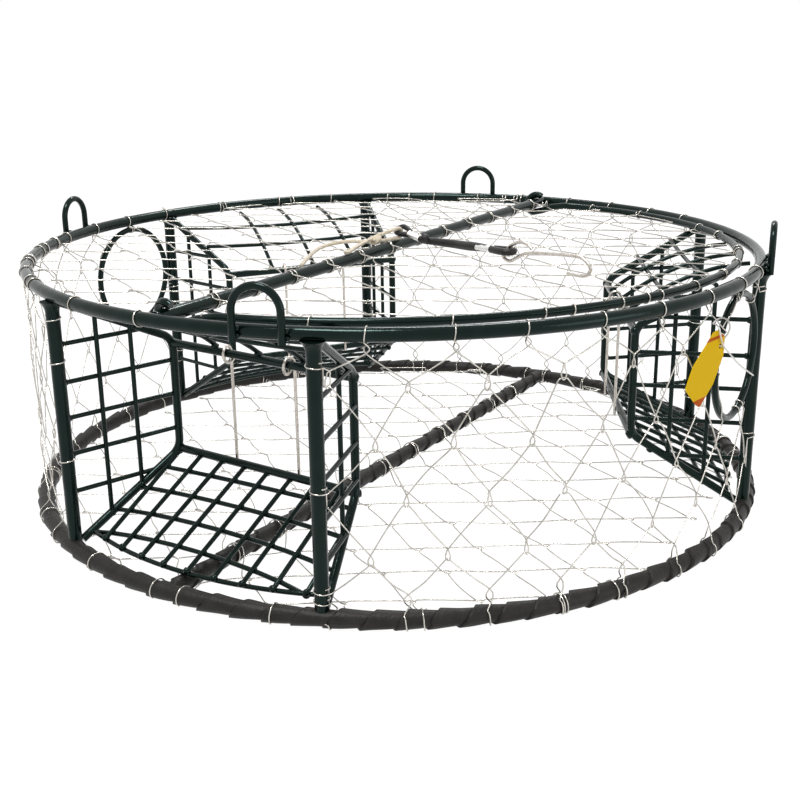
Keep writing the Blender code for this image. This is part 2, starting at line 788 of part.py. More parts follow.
def make_lifting_loops(coat):
    points = [(-LOOP_HALF, 0, LOOP_FOOT_Z)]
    for step in range(LOOP_TOP_STEPS + 1):
        angle = math.pi * (1 - step / LOOP_TOP_STEPS)
        points.append((LOOP_HALF * math.cos(angle), 0,
                       LOOP_TOP_Z - LOOP_HALF + LOOP_HALF * math.sin(angle)))
    points.append((LOOP_HALF, 0, LOOP_FOOT_Z))
    shape = rod_curve("lifting_loop", points, ESCAPE_ROD, 6)
    for side, azimuth in LOOP_AZIMUTHS.items():
        loop = add_object(f"lifting_loop_{side}", shape, coat)
        loop.location = polar(azimuth, LOOP_R)
        loop.rotation_euler.z = math.radians(azimuth)


def lid_path():
    """The lid rod: an eye that goes under the crossbar and over it, the bow, the other eye."""
    plan = arc_points(lid_radius, -LID_BOW_HALF, LID_BOW_HALF, LID_BOW_STEPS)
    bow = [bar_point(along, right, RING_Z) for along, right in plan]
    eyes = []
    for end in (-1, 1):
        line = []
        edge = lid_radius(90 * end)
        for right, drop in LID_DIP:
            line.append(bar_point(end * edge, right, RING_Z - drop))
        for step in range(EYE_STEPS + 1):
            angle = math.radians(270 - EYE_TURN * step / EYE_STEPS)
            slide = EYE_PITCH * min(1.0, step / (EYE_STEPS - 2))
            line.append(bar_point(end * (edge + slide), EYE_R * math.cos(angle),
                                  RING_Z + EYE_R * math.sin(angle)))
        eyes.append(line)
    return list(reversed(eyes[0])) + bow + eyes[1]


def lid_net_outline():
    edge = arc_points(lambda angle: lid_radius(angle) - 0.5 * LID_ROD - LID_NET_GAP,
                      -LID_NET_ARC, LID_NET_ARC, LID_NET_STEPS)
    edge = [(a, r) for a, r in edge if r > LID_NET_STEP and abs(a) < LID_NET_REACH]
    return [(LID_NET_HALF, LID_NET_EDGE), (-LID_NET_HALF, LID_NET_EDGE)] + edge


def crossbar_sheet(z):
    return lambda co: bar_point(co.x, co.y, z)


def make_lid(coat, wire, pivot):
    frame = rod("lid_frame", lid_path(), LID_ROD, 6, coat)
    hang(frame, pivot)
    net = netting("lid_net", [lid_net_outline()], NET_CELL, NET_PHASES["lid"], wire,
                  crossbar_sheet(RING_Z))
    hang(net, pivot)


def half_disc(radius, near, notch_along, notch_depth, side):
    """A half disc beside a crossbar, with its two corners cut back."""
    depth = near + notch_depth
    start = math.degrees(math.acos(depth / radius))
    edge = arc_points(lambda angle: radius, start, -start, HALF_DISC_STEPS)
    outline = [(-notch_along, near), (notch_along, near), (notch_along, depth)] + edge
    outline.append((-notch_along, depth))
    return [(along, side * right) for along, right in outline]


def make_flat_nets(wire):
    inner = RING_R - 0.5 * RING_ROD - 3 * GAP
    outline = half_disc(inner, TOP_NET_EDGE, TOP_NET_HALF, TOP_NET_STEP, -1)
    netting("top_net", [outline], NET_CELL, NET_PHASES["top"], wire, crossbar_sheet(RING_Z))
    inner = BASE_R - WRAP_HIGH - 3 * GAP
    near = WRAP_HIGH + 2 * GAP
    for name, side in (("left", -1), ("right", 1)):
        outline = half_disc(inner, near, BASE_NET_HALF, BASE_NET_STEP, side)
        netting(f"bottom_net_{name}", [outline], BASE_CELL, NET_PHASES["base"], wire,
                crossbar_sheet(BASE_NET_Z))


def wall_bend(co):
    angle = co.x / WALL_R
    return Vector((WALL_R * math.sin(angle), -WALL_R * math.cos(angle), co.y))


def wall_outline(start, stop):
    """A panel on the unrolled wall, stepped down below an escape ring near one of its ends."""
    margin = math.degrees((0.5 * POST_ROD + WALL_POST_GAP) / WALL_R)
    ring_gap = math.degrees(ESCAPE_CLEAR / WALL_R)
    start += margin
    stop -= margin
    corners = [(start, WALL_LOW_Z), (stop, WALL_LOW_Z), (stop, WALL_TOP_Z), (start, WALL_TOP_Z)]
    for azimuth, z in ESCAPES.values():
        low = z - ESCAPE_R - WALL_RING_GAP
        if start < azimuth < stop and azimuth - start < stop - azimuth:
            clear = azimuth + ring_gap
            corners[3:] = [(clear, WALL_TOP_Z), (clear, low), (start, low)]
        elif start < azimuth < stop:
            clear = azimuth - ring_gap
            corners[2:3] = [(stop, low), (clear, low), (clear, WALL_TOP_Z)]
    return [(math.radians(azimuth) * WALL_R, z) for azimuth, z in corners]


def make_wall_nets(wire):
    """Netting between the tunnels, left out round the escape rings."""
    names = list(TUNNELS)
    for first, second in zip(names, names[1:] + names[:1]):
        start = TUNNELS[first]["posts"][1]
        stop = TUNNELS[second]["posts"][0]
        if stop < start:
            stop += 360
        netting(f"wall_net_{first}_to_{second}", [wall_outline(start, stop)], WALL_CELL,
                NET_PHASES["wall"], wire, wall_bend)


def rope_loop(tip, sleeve_end, tilt):
    """A fold of the rope beyond a sleeve: out along one side, round the tip and back."""
    step = tip - sleeve_end
    step = Vector((step.x, step.y, 0)).normalized()
    side = Vector((0, 0, 1)).cross(step)
    side = side * math.cos(math.radians(tilt)) + Vector((0, 0, math.sin(math.radians(tilt))))
    centre = tip - step * LOOP_TIP_BACK
    inner = sleeve_end - (centre - sleeve_end).normalized() * GAP
    points = [inner - side * NECK_SIDE]
    for index in range(LOOP_STEPS + 1):
        angle = math.radians(180 * index / LOOP_STEPS - 90)
        points.append(centre + step * LOOP_SIDE * math.cos(angle)
                      + side * LOOP_SIDE * math.sin(angle))
    points.append(inner + side * NECK_SIDE)
    return points


def make_sleeve(name, ends, metal):
    """A short crimped tube, open at both ends."""
    start, end = ends
    axis = (end - start).normalized()
    left = Vector((0, 0, 1)).cross(axis).normalized()
    up = axis.cross(left)
    mesh = bmesh.new()
    rings = []
    for width, point in ((SLEEVE_BORE, start), (SLEEVE_BORE, end), (SLEEVE_WIDTH, start),
                         (SLEEVE_WIDTH, end)):
        ring = []
        for step in range(SLEEVE_SIDES):
            angle = 2 * math.pi * step / SLEEVE_SIDES
            ring.append(mesh.verts.new(point + left * 0.5 * width * math.cos(angle)
                                       + up * 0.5 * width * math.sin(angle)))
        rings.append(ring)
    inner_start, inner_end, outer_start, outer_end = rings
    for index in range(SLEEVE_SIDES):
        after = (index + 1) % SLEEVE_SIDES
        for a, b in ((inner_end, inner_start), (outer_start, outer_end),
                     (inner_start, outer_start), (outer_end, inner_end)):
            mesh.faces.new((a[index], a[after], b[after], b[index]))
    bmesh.ops.recalc_face_normals(mesh, faces=mesh.faces[:])
    data = bpy.data.meshes.new(name)
    mesh.to_mesh(data)
    mesh.free()
    return add_object(name, data, metal)


def join(piece, other):
    hide_cutter(other)
    modifier = piece.modifiers.new("join", "BOOLEAN")
    modifier.operation = "UNION"
    modifier.solver = "EXACT"
    modifier.use_self = True
    modifier.object = other


def make_strap(rubber, metal, lid_pivot, strap_pivot):
    strap = as_mesh("rubber_strap", rod_curve("rubber_strap", smooth_line(ROPE_LINE, 2), ROPE, 8),
                    rubber)
    limbs = [("stub", [STUB_START, STUB_END], ROPE - GAP)]
    for name, (start, end) in (("inner", INNER_SLEEVE), ("outer", OUTER_SLEEVE)):
        lap = (end - start).normalized() * NECK_LAP
        limbs.append((f"{name}_neck", [start - lap, end + lap], ROPE_PINCHED))
    limbs.append(("inner_loop", rope_loop(INNER_TIP, INNER_SLEEVE[0], INNER_TILT), ROPE_LOOP))
    limbs.append(("outer_loop", rope_loop(OUTER_TIP, OUTER_SLEEVE[1], 0.0), ROPE_LOOP))
    for name, points, width in limbs:
        join(strap, as_mesh(name, rod_curve(name, points, width, 8), None))
    hang(strap, strap_pivot)
    hang(make_sleeve("ferrule_inner", INNER_SLEEVE, metal), lid_pivot)
    hang(make_sleeve("ferrule_outer", OUTER_SLEEVE, metal), strap_pivot)


def hook_path():
    """Eye, shank and open bend."""
    return [HOOK_FOOT + HOOK_ALONG * along + Vector((0, 0, up))
            for along, up, _ in smooth_line([(a, z, 0) for a, z in HOOK_LINE], 2)]


def make_hook(steel, pivot):
    hang(rod("hook", hook_path(), HOOK_WIRE, 6, steel), pivot)


def make_cord(cotton):
    rod("rot_cord", smooth_line(CORD_ROUTE, 2), CORD, 8, cotton)


def tag_place(sideways, z, dist=TAG_DIST):
    out = polar(TAG_AZIMUTH, 1.0)
    side = polar(TAG_AZIMUTH + 90, 1.0)
    return out * dist + side * sideways + Vector((0, 0, z))


def make_tag(card, string):
    """A card hung outside the wall by a tie through its hole and round the escape ring."""
    pivot = add_pivot("tag_axis", tag_place(TAG_HOLE[0], TAG_PIVOT_Z), TAG_AZIMUTH)
    mesh = bmesh.new()
    face = mesh.faces.new([mesh.verts.new(tag_place(x, z)) for x, z in TAG_OUTLINE])
    solid = bmesh.ops.extrude_face_region(mesh, geom=[face])["geom"]
    moved = [item for item in solid if isinstance(item, bmesh.types.BMVert)]
    bmesh.ops.translate(mesh, verts=moved, vec=polar(TAG_AZIMUTH, TAG_THICK))
    bmesh.ops.recalc_face_normals(mesh, faces=mesh.faces[:])
    data = bpy.data.meshes.new("tag")
    mesh.to_mesh(data)
    mesh.free()
    tag = add_object("tag", data, card)
    line = [tag_place(*TAG_HOLE, TAG_DIST + reach) for reach in (-TAG_HOLE_R, TAG_HOLE_R)]
    punch = as_mesh("tag_punch", rod_curve("tag_punch", line, 2 * TAG_HOLE_R, 8), None)
    hide_cutter(punch)
    subtract(tag, punch)
    hang(tag, pivot)
    route = [polar(*stop) for stop in TIE_ROUTE]
    path = smooth_line(route[-1:] + route + route[:2], 2)[2:-4]
    hang(rod("tag_tie", path, TIE_CORD, 6, string, cyclic=True), pivot)


def main():
    for leftover in list(bpy.data.objects):
        bpy.data.objects.remove(leftover)
    coat = paint("green_coating", (0.012, 0.024, 0.022), 0.3)
    wire = paint("stainless_wire", (0.50, 0.48, 0.44), 0.35, 1.0)
    steel = paint("stainless_rod", (0.60, 0.57, 0.52), 0.25, 1.0)
    rubber = paint("wrap_rubber", (0.042, 0.040, 0.037), 0.75)
    black = paint("strap_rubber", (0.015, 0.015, 0.015), 0.55)
    metal = paint("ferrule_metal", (0.72, 0.71, 0.69), 0.3, 1.0)
    cotton = paint("cotton_cord", (0.72, 0.64, 0.50), 0.9)
    string = paint("white_string", (0.80, 0.79, 0.75), 0.6)
    card = paint("yellow_card", (0.90, 0.62, 0.03), 0.45)
    make_rings(coat)
    make_posts(coat)
    make_crossbars(coat)
    floor = floor_cutter()
    make_ring_wrap(rubber, floor)
    make_crossbar_wrap(rubber, floor)
    make_tunnels(coat, steel)
    make_escape_rings(coat)
    make_lifting_loops(coat)
    lid_pivot = add_pivot("lid_axis", (0, 0, RING_Z), BAR_AZIMUTH)
    strap_pivot = add_pivot("strap_axis", STRAP_PIVOT, BAR_AZIMUTH)
    hook_pivot = add_pivot("hook_axis", HOOK_PIVOT)
    make_lid(coat, wire, lid_pivot)
    make_flat_nets(wire)
    make_wall_nets(wire)
    make_strap(black, metal, lid_pivot, strap_pivot)
    make_hook(steel, hook_pivot)
    make_cord(cotton)
    make_tag(card, string)


main()
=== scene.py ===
"""Looks of a round crab pot: coated steel rod, knotted wire netting, rubber winding, strap and hook."""

import random
from math import atan2, ceil, cos, degrees, hypot, pi, radians, sin, sqrt, tan

import bmesh
import bpy
from mathutils import Matrix, Vector, noise


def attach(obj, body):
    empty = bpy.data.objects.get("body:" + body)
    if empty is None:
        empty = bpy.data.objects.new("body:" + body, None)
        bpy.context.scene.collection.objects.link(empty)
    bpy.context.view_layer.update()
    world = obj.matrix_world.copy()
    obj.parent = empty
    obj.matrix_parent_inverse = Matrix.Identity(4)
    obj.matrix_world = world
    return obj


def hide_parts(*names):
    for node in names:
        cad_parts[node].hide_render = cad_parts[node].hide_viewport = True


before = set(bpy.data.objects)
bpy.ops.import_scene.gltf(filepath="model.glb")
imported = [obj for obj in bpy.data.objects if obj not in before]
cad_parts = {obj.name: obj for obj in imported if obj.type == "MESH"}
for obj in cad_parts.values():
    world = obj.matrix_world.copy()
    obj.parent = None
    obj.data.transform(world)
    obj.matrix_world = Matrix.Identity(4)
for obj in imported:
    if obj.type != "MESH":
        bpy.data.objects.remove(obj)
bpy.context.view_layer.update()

# Pot frame, in metres and degrees round from the front towards +X
GAP = 0.0004
RING_R = 0.375
RING_Z = 0.2486
RING_ROD = 0.012
BASE_R = 0.3789
BASE_Z = 0.0077
POST_R = 0.37695
POST_ROD = 0.0126
FRAME_ROD = 0.008
MESH_WIRE = 0.0045
BAR_AZIMUTH = 148.2
WRAP_HIGH = 0.0082
TUNNELS = {
    "front": {"axis": -35.4, "shift": 0.0182, "posts": (-53.7, -9.6), "middle_reach": 0.333,
              "uprights": ((0.0455, 0.080), (0.037,)), "row_shifts": (0.0, -0.008),
              "trigger_shift": 0.0178},
    "right": {"axis": 87.4, "shift": -0.0015, "posts": (67.5, 108.5), "middle_reach": 0.3665,
              "uprights": ((0.038, 0.074), (0.031, 0.066)), "row_shifts": (-0.004, -0.004),
              "trigger_shift": -0.0015},
    "back": {"axis": 204.3, "shift": 0.0025, "posts": (185.9, 228.8), "middle_reach": 0.3665,
             "uprights": ((0.038, 0.076), (0.038, 0.076)), "row_shifts": (0.0, 0.0),
             "trigger_shift": 0.0025},
}
SIDES = ("left", "right")
THROAT_DIST = 0.242
THROAT_HALF = 0.109
BAR_TOP_Z = 0.184
BAR_LOW_Z = 0.0765
ARM_RING_Z = 0.2375
ARM_THROAT_Z = 0.189
ARM_INSET = 0.0165
ARM_GAP = 0.001
RAMP_FOOT_Z = 0.0175
BEND_R = 0.018
ESCAPE_R = 0.0577
ESCAPE_ROD = 0.0065
ESCAPE_DIST = 0.3725
ESCAPE_STEPS = 72
ESCAPES = {"right": (57.2, 0.1795), "left": (239.3, 0.181)}
LOOP_AZIMUTHS = {"front": -16.0, "right": 72.1, "back": 162.6, "left": 252.4}
LOOP_R = RING_R + 0.5 * RING_ROD + 0.5 * ESCAPE_ROD + GAP
LOOP_HALF = 0.0205
LOOP_FOOT_Z = 0.2415
LOOP_TOP_Z = 0.2870
LID_R = 0.347
LID_OUT_OF_ROUND = 0.013
LID_ROD = 0.008
EYE_R = 0.5 * RING_ROD + 0.5 * LID_ROD + 2 * GAP
EYE_PITCH = 0.0095
EYE_TURN = 215
LID_BOW_HALF = 83

# Netting
NET_WIRE = 0.00125
WALL_R = 0.378
BASE_NET_Z = 0.0068
ROW = 0.049
TOP_PITCH = 0.0575
TOP_SAG = 0.0022
BASE_PITCH = 0.064


# Geometry helpers
UP = Vector((0, 0, 1))


def polar(azimuth, radius, z=0.0):
    angle = radians(azimuth)
    return Vector((radius * sin(angle), -radius * cos(angle), z))


def bar_point(along, right, z):
    """A point by its distance along the crossbar, to the right of it, and its height."""
    return polar(BAR_AZIMUTH, along) + polar(BAR_AZIMUTH - 90, right) + UP * z


def spread(low, high, steps):
    """Even values from low to high, both included."""
    return [low + (high - low) * k / steps for k in range(steps + 1)]


def rim_dist(radius, x):
    """How far out of the middle a rim is, at a distance to the side."""
    return sqrt(radius ** 2 - x * x)


def square_to(step, axis):
    """The direction of what a step has at right angles to an axis."""
    return (step - axis * step.dot(axis)).normalized()


def smooth(points, per_span):
    """Points on a smooth curve through the given ones."""
    ends = [2 * points[0] - points[1]] + list(points) + [2 * points[-1] - points[-2]]
    path = []
    for a, b, c, d in zip(ends, ends[1:], ends[2:], ends[3:]):
        for step in range(per_span):
            t = step / per_span
            path.append(0.5 * (2 * b + (c - a) * t + (2 * a - 5 * b + 4 * c - d) * t * t
                               + (3 * b - a - 3 * c + d) * t ** 3))
    path.append(points[-1])
    return path


def rounded(points, radius, steps):
    """The points with each inner corner turned into an arc of short runs."""
    path = [points[0]]
    for before, corner, after in zip(points, points[1:], points[2:]):
        into = (before - corner).normalized()
        away = (after - corner).normalized()
        half = 0.5 * into.angle(away)
        centre = corner + (into + away).normalized() * (radius / sin(half))
        first = corner + into * (radius / tan(half)) - centre
        last = corner + away * (radius / tan(half)) - centre
        for step in range(steps + 1):
            path.append(centre + first.slerp(last, step / steps) * radius)
    path.append(points[-1])
    return path


def split(points, length):
    """The same line with points no further apart than the length."""
    path = [points[0]]
    for a, b in zip(points, points[1:]):
        count = max(1, ceil((b - a).length / length))
        path += [a.lerp(b, step / count) for step in range(1, count + 1)]
    return path


def add_object(name, data):
    made = bpy.data.objects.new(name, data)
    bpy.context.scene.collection.objects.link(made)
    return made


def tube(name, paths, width, sides, material, closed=False, swell=0.0, shape=None):
    """Round rod or wire along each path; swell is how much its width wanders.

    Shape gives the width's share at a point of the path, by its part of the way.
    """
    curve = bpy.data.curves.new(name, "CURVE")
    curve.dimensions = "3D"
    curve.bevel_depth = 0.5 * width
    curve.bevel_resolution = (sides - 4) // 2
    curve.use_fill_caps = True
    for points in paths:
        spline = curve.splines.new("POLY")
        spline.points.add(len(points) - 1)
        spline.use_cyclic_u = closed
        for index, (slot, point) in enumerate(zip(spline.points, points)):
            slot.co = (*point, 1.0)
            slot.radius = 1.0 + swell * noise.noise(point * 55.0)
            if shape:
                slot.radius *= shape(index / (len(points) - 1), point)
    curve.materials.append(material)
    return add_object(name, curve)


def mesh_piece(name, mesh, material):
    data = bpy.data.meshes.new(name)
    mesh.to_mesh(data)
    mesh.free()
    data.shade_smooth()
    data.materials.append(material)
    return add_object(name, data)


def skin(mesh, rings):
    """Faces between each ring of vertices and the next."""
    for a, b in zip(rings, rings[1:]):
        for side in range(len(a)):
            after = (side + 1) % len(a)
            mesh.faces.new((a[side], a[after], b[after], b[side]))


def settle(piece, body, slot, *nodes):
    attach(piece, body)
    if nodes:
        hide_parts(*nodes)
    return piece


# Materials
TONE_PLACES = (0.32, 0.68)


def node(tree, kind, **values):
    made = tree.nodes.new(kind)
    for key, value in values.items():
        if key in made.inputs:
            made.inputs[key].default_value = value
        else:
            setattr(made, key, value)
    return made


def blank_material(name):
    """A new material with its node tree and shader."""
    material = bpy.data.materials.new(name)
    material.use_nodes = True
    tree = material.node_tree
    return material, tree, tree.nodes["Principled BSDF"]


def grain_bump(tree, shader, where, scale, detail, depth):
    fine = node(tree, "ShaderNodeTexNoise", Scale=scale, Detail=detail)
    tree.links.new(where, fine.inputs["Vector"])
    bump = node(tree, "ShaderNodeBump", Distance=depth, Strength=1.0)
    tree.links.new(fine.outputs["Fac"], bump.inputs["Height"])
    tree.links.new(bump.outputs["Normal"], shader.inputs["Normal"])


def maths(tree, operation, *values):
    """What a maths node gives for numbers or for other nodes' outputs."""
    made = node(tree, "ShaderNodeMath", operation=operation)
    for socket, value in zip(made.inputs, values):
        if isinstance(value, float):
            socket.default_value = value
        else:
            tree.links.new(value, socket)
    return made.outputs[0]


def map_range(tree, value, ends, goal):
    """Takes a value of 0 to 1 into a socket as one between two ends."""
    made = node(tree, "ShaderNodeMapRange")
    made.inputs["To Min"].default_value, made.inputs["To Max"].default_value = ends
    tree.links.new(value, made.inputs["Value"])
    tree.links.new(made.outputs["Result"], goal)


def surface(name, dark, light, patch, roughness, grain, depth, metallic=0.0, **sockets):
    """Colour that wanders between two tones, roughness that wanders with it, and a fine bump."""
    material, tree, shader = blank_material(name)
    shader.inputs["Metallic"].default_value = metallic
    for key, value in sockets.items():
        shader.inputs[key.replace("_", " ")].default_value = value
    where = node(tree, "ShaderNodeTexCoord").outputs["Object"]
    patches = node(tree, "ShaderNodeTexNoise", Scale=patch, Detail=4.0)
    tree.links.new(where, patches.inputs["Vector"])
    tones = node(tree, "ShaderNodeValToRGB")
    for stop, place, tone in zip(tones.color_ramp.elements, TONE_PLACES, (dark, light)):
        stop.position = place
        stop.color = (*tone, 1.0)
    tree.links.new(patches.outputs["Fac"], tones.inputs["Fac"])
    tree.links.new(tones.outputs["Color"], shader.inputs["Base Color"])
    map_range(tree, patches.outputs["Fac"], roughness, shader.inputs["Roughness"])
    grain_bump(tree, shader, where, grain, 3.0, depth)
    return material


coat = surface("coat_green", (0.0010, 0.0040, 0.0030), (0.0035, 0.0085, 0.0072), 60.0,
               (0.10, 0.19), 90.0, 0.0003, Specular_IOR_Level=0.24,
               Specular_Tint=(0.58, 0.85, 0.78, 1.0))
net_wire = surface("net_wire_steel", (0.42, 0.40, 0.36), (0.66, 0.63, 0.58), 90.0, (0.16, 0.32),
                   900.0, 0.0001, metallic=1.0)
drawn_wire = surface("drawn_steel", (0.50, 0.46, 0.41), (0.66, 0.62, 0.57), 120.0, (0.20, 0.36),
                     1400.0, 0.0001, metallic=1.0)
sleeve_metal = surface("sleeve_bright", (0.70, 0.69, 0.66), (0.86, 0.85, 0.83), 300.0, (0.22, 0.40),
                       900.0, 0.0002, metallic=1.0)
wrap_rubber = surface("wrap_rubber_grey", (0.0100, 0.0093, 0.0083), (0.0215, 0.0197, 0.0180), 70.0,
                      (0.40, 0.58), 300.0, 0.0005, Specular_IOR_Level=0.22)
rope_rubber = surface("rope_rubber_black", (0.008, 0.008, 0.008), (0.016, 0.015, 0.014), 120.0,
                      (0.35, 0.50), 700.0, 0.0002, Specular_IOR_Level=0.30)
cotton = surface("cotton_twine", (0.62, 0.52, 0.38), (0.80, 0.72, 0.58), 420.0, (0.85, 0.95),
                 1500.0, 0.0004, Sheen_Weight=0.4)
string = surface("white_string", (0.72, 0.71, 0.67), (0.84, 0.83, 0.80), 500.0, (0.55, 0.75),
                 1800.0, 0.0002)


# Camera: where the photograph was taken from

CAMERA_AT = Vector((0.0, -1.2549, 0.4757))
CAMERA_PITCH = 17.63
CAMERA_YAW = 0.217
CAMERA_ROLL = 0.693
FOCAL_PIXELS = 1188.85
PICTURE_PIXELS = 800
SENSOR_MM = 36.0


def make_camera():
    pitch, yaw, roll = (radians(a) for a in (CAMERA_PITCH, CAMERA_YAW, CAMERA_ROLL))
    forward = Vector((sin(yaw) * cos(pitch), cos(yaw) * cos(pitch), -sin(pitch)))
    level = Vector((cos(yaw), -sin(yaw), 0.0))
    down = forward.cross(level)
    right = level * cos(roll) + down * sin(roll)
    down = down * cos(roll) - level * sin(roll)
    data = bpy.data.cameras.new("camera")
    data.sensor_width = SENSOR_MM
    data.lens = SENSOR_MM * FOCAL_PIXELS / PICTURE_PIXELS
    data.clip_start = 0.05
    data.clip_end = 50.0
    camera = add_object("camera", data)
    turn = Matrix((right, -down, -forward)).transposed()
    camera.matrix_world = Matrix.Translation(CAMERA_AT) @ turn.to_4x4()
    bpy.context.scene.camera = camera


make_camera()

# Twisted cotton cord, on the route of its CAD tube
CORD_ROUTE = (
    (-0.0485, -0.0782, 0.2569), (-0.0443, -0.0714, 0.2569), (-0.0410, -0.0600, 0.2572),
    (-0.0355, -0.0450, 0.2580), (-0.0270, -0.0290, 0.2600), (-0.0180, -0.0155, 0.2620),
    (-0.0080, -0.0068, 0.2645), (-0.0010, -0.0008, 0.2660), (0.0034, 0.0039, 0.2665),
    (0.0062, 0.0068, 0.2664), (0.0081, 0.0087, 0.2640), (0.0085, 0.0091, 0.2600),
    (0.0067, 0.0073, 0.2572), (0.0036, 0.0040, 0.2567), (-0.0010, -0.0010, 0.2569),
    (-0.0080, -0.0080, 0.2569), (-0.0170, -0.0160, 0.2571), (-0.0290, -0.0160, 0.2568),
    (-0.0430, -0.0085, 0.2560), (-0.0570, -0.0040, 0.2543), (-0.0690, -0.0090, 0.2525),
    (-0.0770, -0.0220, 0.2517), (-0.0825, -0.0450, 0.2515), (-0.0868, -0.0790, 0.2515),
    (-0.0900, -0.1120, 0.2515),
)
CORD_LAY = 0.011
CORD_STRANDS = 3
CORD_SEEN = 0.0041
KNOT_AT = Vector((-0.0194, -0.0186, 0.2588))
KNOT_ALONG = Vector((0.72, 0.69, 0.06))
KNOT_R = 0.0038
KNOT_TURNS = 2.2
KNOT_LONG = 0.0085
KNOT_STEPS = 40


def frames(points):
    """The points with a pair of steady cross directions at each."""
    made = []
    across = None
    for index, point in enumerate(points):
        before = points[max(index - 1, 0)]
        after = points[min(index + 1, len(points) - 1)]
        along = (after - before).normalized()
        if across is None:
            across = along.orthogonal().normalized()
        across = square_to(across, along)
        made.append((point, across, along.cross(across)))
    return made


def laid_cord(name, points, width, material):
    """A tube with the lobes of twisted strands."""
    points = split(points, CORD_LAY / 16)
    sides = 18
    mesh = bmesh.new()
    rings = []
    travelled = 0.0
    for index, (point, left, up) in enumerate(frames(points)):
        if index:
            travelled += (point - points[index - 1]).length
        twist = 2 * pi * travelled / CORD_LAY
        ring = []
        for side in range(sides):
            angle = 2 * pi * side / sides
            lobe = abs(cos(0.5 * CORD_STRANDS * (angle - twist / CORD_STRANDS)))
            radius = 0.5 * width * (0.80 + 0.22 * lobe)
            ring.append(mesh.verts.new(point + (left * cos(angle) + up * sin(angle)) * radius))
        rings.append(ring)
    skin(mesh, rings)
    mesh.faces.new(list(reversed(rings[0])))
    mesh.faces.new(rings[-1])
    return mesh_piece(name, mesh, material)


def measure(points):
    return sum((b - a).length for a, b in zip(points, points[1:]))


def knot_path():
    """Two snug turns round the strands, with the ends tucked under."""
    along = KNOT_ALONG.normalized()
    across = along.cross(UP).normalized()
    up = across.cross(along)
    line = []
    for step in range(KNOT_STEPS + 1):
        angle = 2 * pi * KNOT_TURNS * step / KNOT_STEPS
        slide = (step / KNOT_STEPS - 0.5) * KNOT_LONG
        reach = KNOT_R * (1.0 - 0.25 * abs(2 * step / KNOT_STEPS - 1) ** 4)
        line.append(KNOT_AT + along * (slide + 0.0016 * sin(angle))
                    + (across * cos(angle) + up * 0.8 * sin(angle)) * reach)
    return line


cord_path = smooth([Vector(p) for p in CORD_ROUTE], 6)
twine = settle(laid_cord("rot_cord_twine", cord_path, CORD_SEEN, cotton), "frame", "cotton",
               "rot_cord")
knot = settle(laid_cord("rot_cord_knot", knot_path(), CORD_SEEN, cotton), "frame", "cotton")
cord_length = measure(cord_path)


# Coated rods of the frame

def coated(name, points, width, body, *nodes, closed=False, sides=16, shape=None):
    piece = tube(name, [split(points, 0.012)], width, sides, coat, closed, 0.02, shape)
    return settle(piece, body, "green_coat", *nodes)


def circle(radius, z, steps):
    return [polar(360 * step / steps, radius, z) for step in range(steps)]


FILLET = 0.55
FILLET_LONG = 0.009


def weld_fillet(_, point):
    """A post swells where it is welded to the top ring."""
    below_ring = RING_Z - 0.5 * RING_ROD - point.z
    return 1 + FILLET * max(0.0, 1 - below_ring / FILLET_LONG) ** 2


coated("top_ring_rod", circle(RING_R, RING_Z, 240), RING_ROD, "frame", "top_ring", closed=True,
       sides=20)
bar_half = RING_R - 0.5 * RING_ROD + GAP
coated("top_crossbar_rod", [bar_point(-bar_half, 0, RING_Z), bar_point(bar_half, 0, RING_Z)],
       RING_ROD, "frame", "top_crossbar", sides=20)
for name in ("bottom_ring", "bottom_crossbar"):
    hidden_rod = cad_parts[name]
    hidden_rod.data.materials.clear()
    hidden_rod.data.materials.append(coat)
for name, tunnel in TUNNELS.items():
    for side, azimuth in zip(SIDES, tunnel["posts"]):
        foot = polar(azimuth, POST_R, BASE_Z + 0.4 * RING_ROD)
        head = polar(azimuth, POST_R, RING_Z - 0.4 * RING_ROD)
        coated(f"{name}_post_rod_{side}", split([foot, head], 0.0015), POST_ROD, "frame",
               f"{name}_post_{side}", sides=20, shape=weld_fillet)


def tunnel_point(tunnel, lateral, dist, z):
    """A point by its place across a tunnel, its distance out of the mouth, and its height."""
    return polar(tunnel["axis"], dist) + polar(tunnel["axis"] + 90, lateral) + UP * z


def side_line(tunnel, index):
    """Plan points of a tunnel side's leg and post, and the unit step between them."""
    leg = tunnel_point(tunnel, tunnel["shift"] + (2 * index - 1) * THROAT_HALF, THROAT_DIST, 0)
    post = polar(tunnel["posts"][index], POST_R)
    return leg, post, (post - leg).normalized()


def upright(point, z):
    return Vector((point.x, point.y, z))


def arm_slopes(leg, post):
    """How steeply a side frame's upper arm rises and its lower arm falls towards the post."""
    run = (post - leg).length - ARM_INSET
    return (ARM_RING_Z - ARM_THROAT_Z) / run, (BAR_LOW_Z - RAMP_FOOT_Z) / run


def side_frame(name, tunnel, index):
    leg, post, step = side_line(tunnel, index)
    near_post = post - step * (0.5 * POST_ROD + ARM_GAP)
    rise, drop = arm_slopes(leg, post)
    reach = (near_post - leg).length
    corners = [upright(near_post, ARM_THROAT_Z + rise * reach), upright(leg, ARM_THROAT_Z),
               upright(leg, BAR_LOW_Z),
               upright(near_post, max(BAR_LOW_Z - drop * reach, 0.5 * FRAME_ROD + ARM_GAP))]
    side = SIDES[index]
    coated(f"{name}_side_frame_rod_{side}", rounded(corners, BEND_R, 8), FRAME_ROD, "frame",
           f"{name}_side_frame_{side}")


